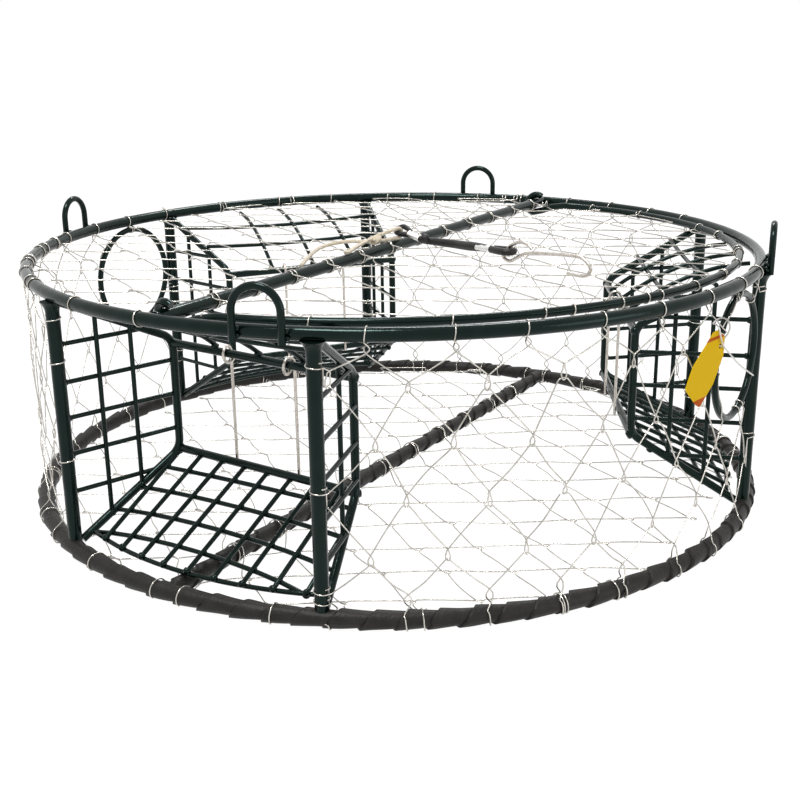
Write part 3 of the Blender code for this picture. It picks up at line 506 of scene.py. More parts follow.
PANEL_ROWS = (0.061, 0.098, 0.133, 0.167, 0.203)
WIRE_SINK = 0.0015
WELD_END = 0.0036
WELD_PANEL = 0.0028
WELD_POST = 0.0034
WELD_RAMP_END = 0.0037
WELD_RAMP = 0.0029
WELD_ROOF = 0.0027
WELD_BAR = 0.0052
WELD_LOOP = 0.0024
welds = []


def weld(size, *spots):
    """Notes where beads of one radius go."""
    welds.extend((spot, size) for spot in spots)


def mesh_wires(part, node_name, wires):
    """Coated wires of one welded panel."""
    piece = tube(part, [split(w, 0.01) for w in wires], MESH_WIRE, 12, coat, swell=0.05)
    settle(piece, "frame", "green_coat", node_name)


def side_panel(name, tunnel, index):
    leg, post, step = side_line(tunnel, index)
    depth = (post - leg).length
    rise, drop = arm_slopes(leg, post)
    across = step.cross(UP) * (2 * index - 1)
    rows = [z + tunnel["row_shifts"][index] for z in PANEL_ROWS]
    wires = []
    for x in tunnel["uprights"][index]:
        low = upright(leg + step * x + across * WIRE_SINK, BAR_LOW_Z - drop * x)
        high = upright(low, ARM_THROAT_Z + rise * x)
        wires.append([low, high])
        weld(WELD_END, low, high)
        weld(WELD_PANEL, *(upright(low, z) - across * WIRE_SINK for z in rows
                           if low.z < z < high.z))
    for z in rows:
        start = max(0.0, (z - ARM_THROAT_Z) / rise, (BAR_LOW_Z - z) / drop)
        left = upright(leg + step * start - across * WIRE_SINK, z)
        right = upright(leg + step * (depth - 0.5 * POST_ROD) - across * WIRE_SINK, z)
        wires.append([left, right])
        weld(WELD_END, left + across * WIRE_SINK)
        weld(WELD_POST, right)
    side = SIDES[index]
    mesh_wires(f"{name}_side_wires_{side}", f"{name}_side_mesh_{side}", wires)


RAMP_TURN = 2.3
RAMP_PITCH = 0.0284
RAMP_WIRES = 9
RAMP_OFFSET = 0.009
RAMP_CROSS = (0.257, 0.283, 0.310, 0.336)
RAMP_REACH = (0.22, 0.37)
RAMP_HALF = 0.19
RAMP_EDGE_R = 0.358
RAMP_EDGE_Z = 0.0192
RAMP_DROP = 0.0035
ROOF_PITCH = 0.054
ROOF_CROSS = (0.277, 0.315)
ROOF_EDGE_R = 0.3665
ROOF_EDGE_Z = 0.2385
ROOF_RISE = 0.011
ROOF_LIFT = 0.0012
ROOF_LAP = 0.004


def frame_lateral(tunnel, index, dist):
    """Where a tunnel's side frame lies across the tunnel, at a distance out of it."""
    leg, post, _ = side_line(tunnel, index)
    out, across = polar(tunnel["axis"], 1.0), polar(tunnel["axis"] + 90, 1.0)
    share = (dist - leg.dot(out)) / (post - leg).dot(out)
    return leg.lerp(post, share).dot(across)


def sloped(tunnel, x, dist, rim_r, near_z, rim_z, lift, rise=0.0):
    """A point of a sheet from throat to rim that is straight, or curves up by the given rise."""
    rim = rim_dist(rim_r, x)
    share = (dist - THROAT_DIST) / (rim - THROAT_DIST)
    curve = 4 * rise * share * (1 - share)
    return tunnel_point(tunnel, x, dist, near_z + (rim_z - near_z) * share + curve + lift)


def unturned(x, dist):
    """Place in a tunnel of a point in its ramp's grid, which is turned round the pot's axis."""
    turn = radians(RAMP_TURN)
    return (x * cos(turn) + dist * sin(turn), dist * cos(turn) - x * sin(turn))


def ramp_ends(tunnel, start, stop):
    """The part of a straight wire, given in the ramp's grid, that is inside the tunnel and rim."""
    inside = []
    for place in zip(spread(start[0], stop[0], 240), spread(start[1], stop[1], 240)):
        x, dist = unturned(*place)
        if (dist >= THROAT_DIST and hypot(x, dist) <= RAMP_EDGE_R + 0.0016
                and frame_lateral(tunnel, 0, dist) <= x <= frame_lateral(tunnel, 1, dist)):
            inside.append((x, dist))
    return inside[0], inside[-1]


def ramp(name, tunnel):
    shape = (RAMP_EDGE_R, BAR_LOW_Z - RAMP_DROP, RAMP_EDGE_Z)
    posts = [radians(azimuth - tunnel["axis"]) for azimuth in tunnel["posts"]]
    middle = 0.5 * POST_R * sum(sin(angle) for angle in posts) - RAMP_OFFSET
    lines = [middle + (i - 0.5 * (RAMP_WIRES - 1)) * RAMP_PITCH for i in range(RAMP_WIRES)]
    wires = []
    near, far = RAMP_REACH
    wire_runs = [((x, near), (x, far), WIRE_SINK) for x in lines]
    wire_runs += [((-RAMP_HALF, dist), (RAMP_HALF, dist), -WIRE_SINK) for dist in RAMP_CROSS]
    for start, stop, lift in wire_runs:
        (x0, d0), (x1, d1) = ramp_ends(tunnel, start, stop)
        wires.append([sloped(tunnel, x, dist, *shape, lift)
                      for x, dist in zip(spread(x0, x1, 10), spread(d0, d1, 10))])
        weld(WELD_RAMP_END, wires[-1][0], wires[-1][-1])
    for line in lines:
        for row in RAMP_CROSS:
            x, dist = unturned(line, row)
            between = frame_lateral(tunnel, 0, dist) < x < frame_lateral(tunnel, 1, dist)
            if between and hypot(x, dist) < RAMP_EDGE_R:
                weld(WELD_RAMP, sloped(tunnel, x, dist, *shape, 0.0))
    ends = []
    for index in (0, 1):
        x = tunnel["shift"]
        for _ in range(12):
            x = frame_lateral(tunnel, index, rim_dist(RAMP_EDGE_R, x))
        ends.append(x)
    rim_row = [tunnel_point(tunnel, x, rim_dist(RAMP_EDGE_R, x), RAMP_EDGE_Z - WIRE_SINK)
               for x in spread(*ends, 24)]
    wires.append(rim_row)
    weld(WELD_END, rim_row[0], rim_row[-1])
    mesh_wires(f"{name}_ramp_wires", f"{name}_ramp", wires)


def roof(name, tunnel):
    near_z = BAR_TOP_Z + 0.5 * (FRAME_ROD + MESH_WIRE) - 0.0006
    shape = (ROOF_EDGE_R, near_z, ROOF_EDGE_Z)
    wires = []
    for index in (-1, 0, 1):
        x = tunnel["shift"] + index * ROOF_PITCH
        rim = rim_dist(ROOF_EDGE_R if index else tunnel["middle_reach"], x)
        wires.append([sloped(tunnel, x, d, *shape, ROOF_LIFT, ROOF_RISE)
                      for d in spread(THROAT_DIST - ROOF_LAP, rim, 8)])
        weld(WELD_END, sloped(tunnel, x, THROAT_DIST, *shape, -WIRE_SINK))
        weld(WELD_ROOF, *(sloped(tunnel, x, d, *shape, 0.0, ROOF_RISE) for d in ROOF_CROSS))
    for dist in ROOF_CROSS:
        reach = sqrt(ROOF_EDGE_R ** 2 - dist ** 2) - 0.003
        left = max(frame_lateral(tunnel, 0, dist), -reach)
        right = min(frame_lateral(tunnel, 1, dist), reach)
        wires.append([sloped(tunnel, x, dist, *shape, -WIRE_SINK, ROOF_RISE)
                      for x in spread(left, right, 10)])
    mesh_wires(f"{name}_roof_wires", f"{name}_roof", wires)


def throat_bars(name, tunnel):
    for part, z in (("top_bar", BAR_TOP_Z), ("sill_bar", BAR_LOW_Z)):
        ends = [tunnel_point(tunnel, tunnel["shift"] + s * THROAT_HALF, THROAT_DIST, z)
                for s in (-1, 1)]
        coated(f"{name}_{part}_rod", ends, FRAME_ROD, "frame", f"{name}_{part}")
        weld(WELD_BAR, *ends)


TRIGGER_WIRE = 0.003
TRIGGER_HALF = 0.0343
TRIGGER_FOOT_Z = 0.0725
TRIGGER_EYE_R = 0.5 * (FRAME_ROD + TRIGGER_WIRE) + 2 * GAP
TRIGGER_LEG_R = 0.5 * (FRAME_ROD + TRIGGER_WIRE) + 3 * GAP
TRIGGER_EYE_PITCH = 0.0042
TRIGGER_BRIDGE = (0.004, 0.0002, -0.0035)
OVAL_WIDE = 0.0064
OVAL_HIGH = 0.0078
OVAL_DROP = 0.0010
OVAL_START = 15
OVAL_TURN = 330
OVAL_STEPS = 22


def trigger(name, tunnel):
    outer = TRIGGER_HALF + TRIGGER_EYE_PITCH
    half = [Vector((outer, TRIGGER_LEG_R, TRIGGER_FOOT_Z - BAR_TOP_Z))]
    for step in range(OVAL_STEPS + 1):
        share = step / OVAL_STEPS
        angle = radians(OVAL_START + OVAL_TURN * share)
        half.append(Vector((outer - TRIGGER_EYE_PITCH * share, OVAL_WIDE * cos(angle),
                            OVAL_HIGH * sin(angle) - OVAL_DROP)))
    inward, out, down = TRIGGER_BRIDGE
    half.append(Vector((TRIGGER_HALF - inward, TRIGGER_EYE_R + out, -TRIGGER_EYE_R - down)))
    path = half + [Vector((-p.x, p.y, p.z)) for p in reversed(half)]
    path = [tunnel_point(tunnel, tunnel["trigger_shift"] + p.x, THROAT_DIST - p.y, BAR_TOP_Z + p.z)
            for p in path]
    settle(tube(f"{name}_trigger_wire", [path], TRIGGER_WIRE, 12, drawn_wire), f"{name}_gate",
           "steel_rod", f"{name}_trigger")


for name, tunnel in TUNNELS.items():
    for index in (0, 1):
        side_frame(name, tunnel, index)
        side_panel(name, tunnel, index)
    throat_bars(name, tunnel)
    ramp(name, tunnel)
    roof(name, tunnel)
    trigger(name, tunnel)

for side, (azimuth, z) in ESCAPES.items():
    across = polar(azimuth + 90, 1.0)
    angles = [2 * pi * step / ESCAPE_STEPS for step in range(ESCAPE_STEPS)]
    points = [polar(azimuth, ESCAPE_DIST, z) + across * ESCAPE_R * cos(angle)
              + UP * (ESCAPE_R * sin(angle)) for angle in angles]
    coated(f"escape_ring_rod_{side}", points, ESCAPE_ROD, "frame", f"escape_ring_{side}",
           closed=True)
    weld(WELD_END, polar(azimuth, ESCAPE_DIST, z + ESCAPE_R + 0.5 * ESCAPE_ROD))

for side, azimuth in LOOP_AZIMUTHS.items():
    across = polar(azimuth + 90, 1.0)
    points = [(-LOOP_HALF, LOOP_FOOT_Z)]
    for step in range(25):
        angle = pi * (1 - step / 24)
        points.append((LOOP_HALF * cos(angle), LOOP_TOP_Z - LOOP_HALF * (1 - sin(angle))))
    points.append((LOOP_HALF, LOOP_FOOT_Z))
    line = [polar(azimuth, LOOP_R, z) + across * x for x, z in points]
    coated(f"lifting_loop_rod_{side}", line, ESCAPE_ROD, "frame", f"lifting_loop_{side}")
    for x in (-LOOP_HALF, LOOP_HALF):
        for z in (RING_Z - 0.003, RING_Z + 0.003):
            for shift in (-0.0028, 0.0028):
                weld(WELD_LOOP, polar(azimuth, LOOP_R - 0.0035, z) + across * (x + shift))


# Lid rod

def lid_radius(angle):
    """The lid rod's distance from the pot's axis, by degrees from the lid's middle."""
    return LID_R + LID_OUT_OF_ROUND * sin(radians(2 * angle))


def lid_point(angle, shrink=0.0, z=RING_Z):
    radius = lid_radius(angle) - shrink
    return bar_point(radius * sin(radians(angle)), radius * cos(radians(angle)), z)


def lid_path():
    bow = [lid_point(angle) for angle in spread(-LID_BOW_HALF, LID_BOW_HALF, 90)]
    eyes = []
    for end in (-1, 1):
        edge = lid_radius(90 * end)
        line = [bar_point(end * edge, 0.026, RING_Z - 0.0025),
                bar_point(end * edge, 0.013, RING_Z - 0.0075)]
        for step in range(37):
            angle = radians(270 - EYE_TURN * step / 36)
            slide = EYE_PITCH * min(1.0, step / 30)
            line.append(bar_point(end * (edge + slide), EYE_R * cos(angle),
                                  RING_Z + EYE_R * sin(angle)))
        eyes.append(line)
    return list(reversed(eyes[0])) + bow + eyes[1]


coated("lid_frame_rod", lid_path(), LID_ROD, "lid", "lid_frame")

# Weld metal under the coat
WELD_NOISE = 260.0


def weld_blobs(name, spots):
    mesh = bmesh.new()
    for centre, radius in spots:
        made = bmesh.ops.create_icosphere(mesh, subdivisions=2, radius=radius,
                                          matrix=Matrix.Translation(centre))
        for vertex in made["verts"]:
            lump = 0.28 * radius * noise.noise(vertex.co * WELD_NOISE)
            vertex.co += (vertex.co - centre).normalized() * lump
    return mesh_piece(name, mesh, coat)


settle(weld_blobs("weld_blobs", welds), "frame", "green_coat")

# Rubber strip wound round the base
RING_TURNS = 84
BAR_TURNS = 26
WRAP_SIDES = 28
TURN_STATIONS = (0.0, 0.02, 0.06, 0.12, 0.20, 0.30, 0.40, 0.50, 0.60, 0.70, 0.80, 0.90, 0.97)
STRIP_LIP = 0.0019
WRAP_CORE = WRAP_HIGH - 0.0012


def winding(name, turns, spot, closed):
    """A helical sleeve whose strip edge stands proud; spot gives centre and directions by share."""
    rng = random.Random(name)
    lips = [STRIP_LIP * rng.uniform(0.65, 1.25) for _ in range(turns + 2)]
    slips = [rng.uniform(-0.10, 0.10) for _ in range(turns + 2)]
    count = len(TURN_STATIONS)
    mesh = bmesh.new()
    grid = []
    for turn in range(0 if closed else -1, turns):
        for station, place in enumerate(TURN_STATIONS):
            ring = []
            for side in range(WRAP_SIDES):
                angle = 2 * pi * side / WRAP_SIDES
                here = turn + place + side / WRAP_SIDES
                owner = turn % turns
                here += slips[owner] * (1 - place) + slips[(owner + 1) % turns] * place
                share = here / turns
                share = share % 1.0 if closed else min(max(share, 0.0), 1.0)
                centre, out, up = spot(share)
                way = out * cos(angle) + up * sin(angle)
                lift = lips[owner] * (1 - place) if station else -0.0004
                lump = noise.noise((centre + way * 0.02) * 42.0) * 0.0006
                radius = WRAP_CORE + lift + lump
                if not closed:
                    radius *= min(1.0, 0.75 + 25 * min(share, 1 - share))
                point = centre + way * radius
                point.z = max(point.z, 0.0)
                ring.append(mesh.verts.new(point))
            grid.append(ring)
    total = len(grid)
    for row in range(total):
        for side in range(WRAP_SIDES):
            corners = []
            for step, turn_side in ((0, side), (1, side), (1, side + 1), (0, side + 1)):
                index = row + step + (count if turn_side == WRAP_SIDES else 0)
                if index >= total and not closed:
                    break
                corners.append(grid[index % total][turn_side % WRAP_SIDES])
            if len(corners) == 4:
                mesh.faces.new(corners)
    bmesh.ops.recalc_face_normals(mesh, faces=mesh.faces[:])
    return mesh_piece(name, mesh, wrap_rubber)


def ring_spot(share):
    azimuth = 360 * share
    return polar(azimuth, BASE_R, BASE_Z), polar(azimuth, 1.0), UP


def bar_spot(share):
    reach = BASE_R - 0.001
    return bar_point(reach * (2 * share - 1), 0, BASE_Z), polar(BAR_AZIMUTH - 90, 1.0), UP


settle(winding("ring_winding", RING_TURNS, ring_spot, True), "frame", "wrap_rubber", "ring_wrap")
settle(winding("crossbar_winding", BAR_TURNS, bar_spot, False), "frame", "wrap_rubber",
       "crossbar_wrap")


# Netting: rows of zigzag wire, each hooked through the drops of the row before
DROP_LONG = 0.0092
DROP_HALF = 0.0017
OVER = 0.0008
STRAY_X = 0.055
STRAY_Y = 0.05
LONG_STRETCH = 0.02
STRETCH_BEND = 0.0016
SHORTEST_WIRE = 0.016
BAR_NECK = 0.0135
ROD_TURN_FROM = 35
ROD_TURN = 290
ROD_TURN_STEPS = 14


def hang_drop(x, y, down, rng):
    """A crossed loop at a low point of a row: sheet coordinates and the offset off the sheet."""
    long = DROP_LONG * rng.uniform(0.75, 1.3)
    half = DROP_HALF * rng.uniform(0.8, 1.5)
    lean = rng.uniform(-0.0012, 0.0012)
    marks = ((-0.35, 1.15, -1.0), (0.55, 0.75, -1.0), (1.0, 0.35, 0.0), (0.55, -0.02, 0.4),
             (0.0, -0.10, 0.6), (-0.55, -0.02, 0.4), (-1.0, 0.35, 0.3), (-0.55, 0.75, 1.0),
             (0.35, 1.15, 1.0))
    return [Vector((x + half * a + lean * b, y - down * long * b, OVER * n)) for a, b, n in marks]


def arch(x, y, down, rng):
    """The bend of the next row, through that drop."""
    wide = 0.0046 * rng.uniform(0.8, 1.3)
    return [Vector((x - wide, y + down * 0.0030, -OVER)), Vector((x - 0.35 * wide, y, -0.6 * OVER)),
            Vector((x + 0.35 * wide, y, 0.6 * OVER)), Vector((x + wide, y + down * 0.0030, OVER))]


def rod_loop(x, near, centre, rod, lean, clamp=None):
    """A turn round a rod that runs along the sheet: centre is its (y, n), near the neck's y."""
    side = 1 if near > centre[0] else -1
    radius = rod + 0.5 * NET_WIRE
    points = [Vector((x - 0.5 * lean, near, -0.5 * OVER))]
    for step in range(ROD_TURN_STEPS + 1):
        angle = radians(ROD_TURN_FROM + ROD_TURN * step / ROD_TURN_STEPS)
        y = centre[0] + side * radius * cos(angle)
        n = centre[1] + radius * sin(angle)
        if clamp is not None:
            y = max(y, clamp)
        points.append(Vector((x + lean * (0.5 - step / ROD_TURN_STEPS), y, n)))
    points.append(Vector((x + 0.5 * lean, near, 0.5 * OVER)))
    return points


def zigzag(tops, lows):
    """One row's line: its high and low details in turn."""
    line = []
    for index in range(max(len(tops), len(lows))):
        for group in (tops, lows):
            if index < len(group):
                line += group[index]
    return line


def bowed(line, rng):
    """Adds a slightly bent middle to every long stretch."""
    path = [line[0]]
    for a, b in zip(line, line[1:]):
        if (b - a).length > LONG_STRETCH:
            bend = Vector((rng.uniform(-1, 1), rng.uniform(-1, 1), 0)) * STRETCH_BEND
            path.append(a.lerp(b, 0.5) + bend)
        path.append(b)
    return path


def clipped(path, inside):
    """Runs of the path inside the sheet, each with whether its ends were cut there."""
    runs = []
    run = []
    cut = False
    for point in path:
        if inside(point):
            run.append(point)
        else:
            if len(run) > 2:
                runs.append((run, cut, True))
            run = []
            cut = True
    if len(run) > 2:
        runs.append((run, cut, False))
    return runs


def nearest_rod(point, rods):
    """Number, centre, tangent and radius of the rod nearest to a point."""
    found = [(index, *rod(point)) for index, rod in enumerate(rods)]
    return min(found, key=lambda f: abs((point - f[1]).length - f[3]))


def run_along(points, goal, rod):
    """Takes the end of a wire along a rod, on the side it comes from, to another wire's lashing."""
    path = []
    start = points[-1]
    steps = max(3, int((goal - start).length / 0.004))
    for step in range(steps + 1):
        point = start.lerp(goal, step / steps)
        centre, along, radius = rod(point)
        out = square_to(point - centre, along)
        path.append(centre + out * (radius + 0.6 * NET_WIRE))
    return points + path


LASHING_REACH = 0.085
LASHING_SLANT = 0.0045
LASHING_STEPS = 17


def tie_end(points, rods):
    """Winds the end of a wire round the nearest rod."""
    end, before = points[-1], points[-3]
    _, centre, along, radius = nearest_rod(end, rods)
    out = square_to(end - centre, along)
    turn = along.cross(out)
    if turn.dot(end - before) < 0:
        turn.negate()
    slide = along * LASHING_SLANT
    reach = radius + 0.5 * NET_WIRE
    wound = []
    for step in range(1, LASHING_STEPS + 3):
        angle = 2 * pi * step / LASHING_STEPS
        point = centre + (out * cos(angle) + turn * sin(angle)) * reach
        wound.append(point + slide * step / LASHING_STEPS)
        wound[-1].z = max(wound[-1].z, 0.5 * NET_WIRE)
    return points + wound


def fasten(points, rods, lashed, shares):
    """Ties a wire's end to a rod, or takes it to the lashing of the row before."""
    rod_index = nearest_rod(points[-1], rods)[0]
    goal = lashed.pop(rod_index, None) if shares else None
    if goal and (goal - points[-1]).length < LASHING_REACH:
        return run_along(points, goal, rods[rod_index])
    lashed[rod_index] = points[-1]
    return tie_end(points, rods)


def build_net(lines, inside, place, rods, rng):
    """Wires of one sheet; every second row's end goes to its neighbour's lashing."""
    paths = []
    lashed_left, lashed_right = {}, {}
    for index, line in enumerate(lines):
        path = smooth(bowed(line, rng), 4)
        for run, cut_start, cut_end in clipped(path, inside):
            points = [place(p) for p in run]
            if measure(points) < SHORTEST_WIRE:
                continue
            if cut_end:
                points = fasten(points, rods, lashed_right, index % 2 == 0)
            if cut_start:
                points = list(reversed(points))
                points = list(reversed(fasten(points, rods, lashed_left, index % 2 == 1)))
            paths.append(points)
    return paths


def net_lines(levels, phases, pitch, span, down, first, last, rng):
    """The rows of one sheet: first and last make the details on its edge rods."""
    count = int((span[1] - span[0]) / pitch) + 3
    knots = []
    for level, phase in zip(levels, phases):
        start = span[0] - pitch + phase * pitch
        knots.append([(start + index * pitch + rng.uniform(-1, 1) * STRAY_X * pitch,
                       level + rng.uniform(-1, 1) * STRAY_Y * ROW) for index in range(count)])
    lines = []
    for index, (tops, lows) in enumerate(zip(knots, knots[1:]), 1):
        if lows[0][0] < tops[0][0]:
            lows = lows[1:]
        if index == 1:
            high = [first(x) for x, _ in tops]
        else:
            high = [arch(x, y, down, rng) for x, y in tops]
        if index == len(knots) - 1 and last:
            low = [last(x) for x, _ in lows]
        else:
            low = [hang_drop(x, y, down, rng) for x, y in lows]
        lines.append(zigzag(high, low))
    return lines


def ring_rod(radius, z, rod):
    def nearest(point):
        azimuth = degrees(atan2(point.x, -point.y))
        return polar(azimuth, radius, z), polar(azimuth + 90, 1.0), rod

    return nearest


def straight_rod(start, end, rod):
    along = (end - start).normalized()

    def nearest(point):
        return start + along * (point - start).dot(along), along, rod

    return nearest


def escape_rod(side):
    azimuth, z = ESCAPES[side]
    centre = polar(azimuth, ESCAPE_DIST, z)
    facing = polar(azimuth, 1.0)

    def nearest(point):
        out = square_to(point - centre, facing)
        return centre + out * ESCAPE_R, facing.cross(out), 0.5 * ESCAPE_ROD

    return nearest


def lid_rod(point):
    along = point.dot(polar(BAR_AZIMUTH, 1.0))
    right = point.dot(polar(BAR_AZIMUTH - 90, 1.0))
    angle = degrees(atan2(along, right))
    return (lid_point(angle), (lid_point(angle + 1) - lid_point(angle - 1)).normalized(),
            0.5 * LID_ROD)


def sagging(z, depth):
    """Places sheet points beside the crossbar on a slightly slack, level sheet."""
    def place(p):
        slack = min(1.0, max(0.0, (abs(p.y) - 0.02) / 0.08))
        dip = depth * slack * (0.5 + 0.5 * noise.noise(Vector((p.x * 9, p.y * 9, z * 50))))
        return bar_point(p.x, p.y, z + p.z - dip)

    return place


def flat_net(name, side, z, pitch, phases, depth, inside, rods, body, lean, *nodes):
    rng = random.Random(name)
    levels = [0.014 * side] + [side * (0.048 + ROW * k) for k in range(7)]
    crossbar = RING_ROD * 0.5 if z > 0.1 else WRAP_HIGH + GAP
    centre = (0.0, 0.0 if z > 0.1 else BASE_Z - BASE_NET_Z)

    def first(x):
        return rod_loop(x, BAR_NECK * side, centre, crossbar, lean)

    lines = net_lines(levels, phases, pitch, (-0.40, 0.40), side, first, None, rng)
    paths = build_net(lines, inside, sagging(z, depth), rods, rng)
    for path in paths:
        for point in path:
            point.z = max(point.z, 0.5 * NET_WIRE)
    return settle(tube(name, paths, NET_WIRE, 6, net_wire), body, "net_wire", *nodes)


top_inner = RING_R - 0.5 * RING_ROD - 0.0008
base_inner = BASE_R - WRAP_HIGH - 0.0012
top_phases = [0.78, 0.28] * 4
base_phases = [0.72, 0.22] * 4


def in_half(side, radius, lid=False):
    def inside(p):
        if p.y * side < BAR_NECK:
            return abs(p.x) < radius - 0.02
        if lid:
            angle = degrees(atan2(p.x, p.y))
            return hypot(p.x, p.y) < lid_radius(angle) - 0.5 * LID_ROD - 0.001
        return hypot(p.x, p.y) < radius

    return inside


flat_net("top_netting", -1, RING_Z, TOP_PITCH, top_phases, TOP_SAG, in_half(-1, top_inner),
         [ring_rod(RING_R, RING_Z, 0.5 * RING_ROD)], "frame", 0.004, "top_net")
flat_net("lid_netting", 1, RING_Z, TOP_PITCH, top_phases, TOP_SAG, in_half(1, top_inner, True),
         [lid_rod], "lid", -0.009, "lid_net")
for word, side in zip(SIDES, (-1, 1)):
    flat_net(f"bottom_netting_{word}", side, BASE_NET_Z, BASE_PITCH, base_phases, -0.002,
             in_half(side, base_inner), [ring_rod(BASE_R, BASE_Z, WRAP_HIGH + GAP)], "frame",
             0.006, f"bottom_net_{word}")

WALL_LEVELS = (0.2365, 0.205, 0.1545, 0.106, 0.058, 0.0265)
WALL_PITCH = radians(9.7) * WALL_R


def wall_place(p):
    angle = degrees(p.x / WALL_R)
    return polar(angle, WALL_R + p.z, max(p.y, 0.5 * NET_WIRE))


def wall_net(first_name, second_name, phase):
    start, stop = TUNNELS[first_name]["posts"][1], TUNNELS[second_name]["posts"][0]
    if stop < start:
        stop += 360
    name = f"wall_netting_{first_name}_to_{second_name}"
    rng = random.Random(name)
    span = (radians(start) * WALL_R, radians(stop) * WALL_R)
    margin = 0.5 * POST_ROD + 0.0008
    rings = [(radians(a) * WALL_R, z) for a, z in ESCAPES.values() if start < a < stop]

    def inside(p):
        if not span[0] + margin < p.x < span[1] - margin:
            return False
        return all(hypot(p.x - x, p.y - z) > ESCAPE_R + 0.5 * ESCAPE_ROD + 0.0006
                   for x, z in rings)

    def over_ring(x):
        return rod_loop(x, WALL_LEVELS[0], (RING_Z, RING_R - WALL_R), 0.5 * RING_ROD, -0.004)

    def round_base(x):
        return rod_loop(x, WALL_LEVELS[-1], (BASE_Z, BASE_R - WALL_R), WRAP_HIGH + 0.0005, -0.006,
                        0.5 * NET_WIRE)

    shift = (phase - span[0] / WALL_PITCH) % 1.0
    phases = [shift, (shift + 0.45) % 1.0] * 3
    lines = net_lines(WALL_LEVELS, phases, WALL_PITCH, span, -1, over_ring, round_base, rng)
    posts = [straight_rod(polar(a, POST_R, 0.0), polar(a, POST_R, 0.25), 0.5 * POST_ROD)
             for a in (start, stop)]
    rods = posts + [escape_rod(s) for s, (a, _) in ESCAPES.items() if start < a < stop]
    paths = build_net(lines, inside, wall_place, rods, rng)
    settle(tube(name, paths, NET_WIRE, 6, net_wire), "frame", "net_wire",
           f"wall_net_{first_name}_to_{second_name}")


tunnel_names = list(TUNNELS)
for first_name, second_name in zip(tunnel_names, tunnel_names[1:] + tunnel_names[:1]):
    wall_net(first_name, second_name, radians(-3.0) * WALL_R / WALL_PITCH)

# Rubber strap, its two sleeves and the hook
ROPE = 0.0088
ROPE_LOOP = 0.0055
LOOP_SIDE = 0.0056
INNER_TIP = Vector((0.0025, 0.0143, 0.2645))
INNER_SLEEVE = (Vector((0.0164, 0.0003, 0.2622)), Vector((0.0279, -0.0086, 0.2580)))
INNER_TILT = -30.0
ROPE_LINE = ((0.0293, -0.0096, 0.2575), (0.0316, -0.0113, 0.2567), (0.0410, -0.0135, 0.2558),
             (0.0620, -0.0300, 0.2557), (0.0760, -0.0515, 0.2572), (0.0847, -0.0656, 0.2587))
STUB = (Vector((0.0320, -0.0120, 0.2570)), Vector((0.0345, -0.0170, 0.2625)))
OUTER_SLEEVE = (Vector((0.0849, -0.0660, 0.2588)), Vector((0.0993, -0.0880, 0.2602)))
OUTER_TIP = Vector((0.1168, -0.1093, 0.2610))
SLEEVE_WIDTH = 0.0098
SLEEVE_FLAT = 0.74
SLEEVE_WALL = 0.0011
SLEEVE_PINCH = 0.0007
SLEEVE_CRIMPS = 3
SLEEVE_BEVEL = 0.0005
OUTER_LOOP = 0.0074
ROPE_SHARES = (0.70, 0.76, 0.82, 0.86, 0.92, 0.98, 1.04, 1.06, 0.95, 0.72)
STUB_SHARES = (0.9, 0.95, 1.0, 1.0, 1.0, 1.0, 0.97, 0.88, 0.66, 0.15)
HOOK_WIRE = 0.0034
HOOK_FOOT = Vector((0.1128, -0.1044, 0.0))
HOOK_ALONG = Vector((0.6164, -0.7874, 0.0))
HOOK_LINE = ((0.0308, 0.2677), (0.0268, 0.2707), (0.0163, 0.2724), (0.0055, 0.2688),
             (-0.0002, 0.2651), (-0.0042, 0.2592), (-0.0076, 0.2542), (0.0000, 0.2515),
             (0.0084, 0.2547), (0.0248, 0.2624), (0.0555, 0.2662), (0.0863, 0.2686),
             (0.0985, 0.2673), (0.1068, 0.2610), (0.1050, 0.2545), (0.0970, 0.2515),
             (0.0789, 0.2515))


def rope_loop(tip, sleeve_end, tilt):
    step = tip - sleeve_end
    step = Vector((step.x, step.y, 0)).normalized()
    side = UP.cross(step)
    side = side * cos(radians(tilt)) + UP * sin(radians(tilt))
    centre = tip - step * (LOOP_SIDE + 0.5 * ROPE_LOOP)
    inner = sleeve_end - (centre - sleeve_end).normalized() * 0.002
    points = [inner - side * 0.0018, inner.lerp(centre, 0.55) - side * 0.0046]
    for index in range(9):
        angle = radians(180 * index / 8 - 90)
        points.append(centre + step * LOOP_SIDE * cos(angle) + side * LOOP_SIDE * sin(angle))
    points += [inner.lerp(centre, 0.55) + side * 0.0046, inner + side * 0.0018]
    return points


def sleeve(name, ends, body, *nodes):
    """A crimped tube: three pinched bands between round ends."""
    start, end = ends
    axis = (end - start).normalized()
    left = UP.cross(axis).normalized()
    up = axis.cross(left)
    stations, sides = 31, 32
    mesh = bmesh.new()

    def ring_at(share, width, pinch):
        ring = []
        for side in range(sides):
            angle = 2 * pi * side / sides
            radius = width - pinch * abs(sin(angle)) ** 3
            ring.append(mesh.verts.new(start.lerp(end, share) + left * radius * cos(angle)
                                       + up * SLEEVE_FLAT * radius * sin(angle)))
        return ring

    rings = []
    for share in spread(0.0, 1.0, stations - 1):
        pinch = 0.5 - 0.5 * cos(2 * pi * SLEEVE_CRIMPS * share)
        edge = min(share, 1 - share)
        bevel = SLEEVE_BEVEL * max(0.0, 1 - edge / 0.04)
        rings.append(ring_at(share, 0.5 * SLEEVE_WIDTH - bevel, SLEEVE_PINCH * pinch))
    rings += [ring_at(share, 0.5 * SLEEVE_WIDTH - SLEEVE_WALL, 0.0) for share in (1.0, 0.0)]
    skin(mesh, rings + rings[:1])
    bmesh.ops.recalc_face_normals(mesh, faces=mesh.faces[:])
    settle(mesh_piece(name, mesh, sleeve_metal), body, "ferrule", *nodes)


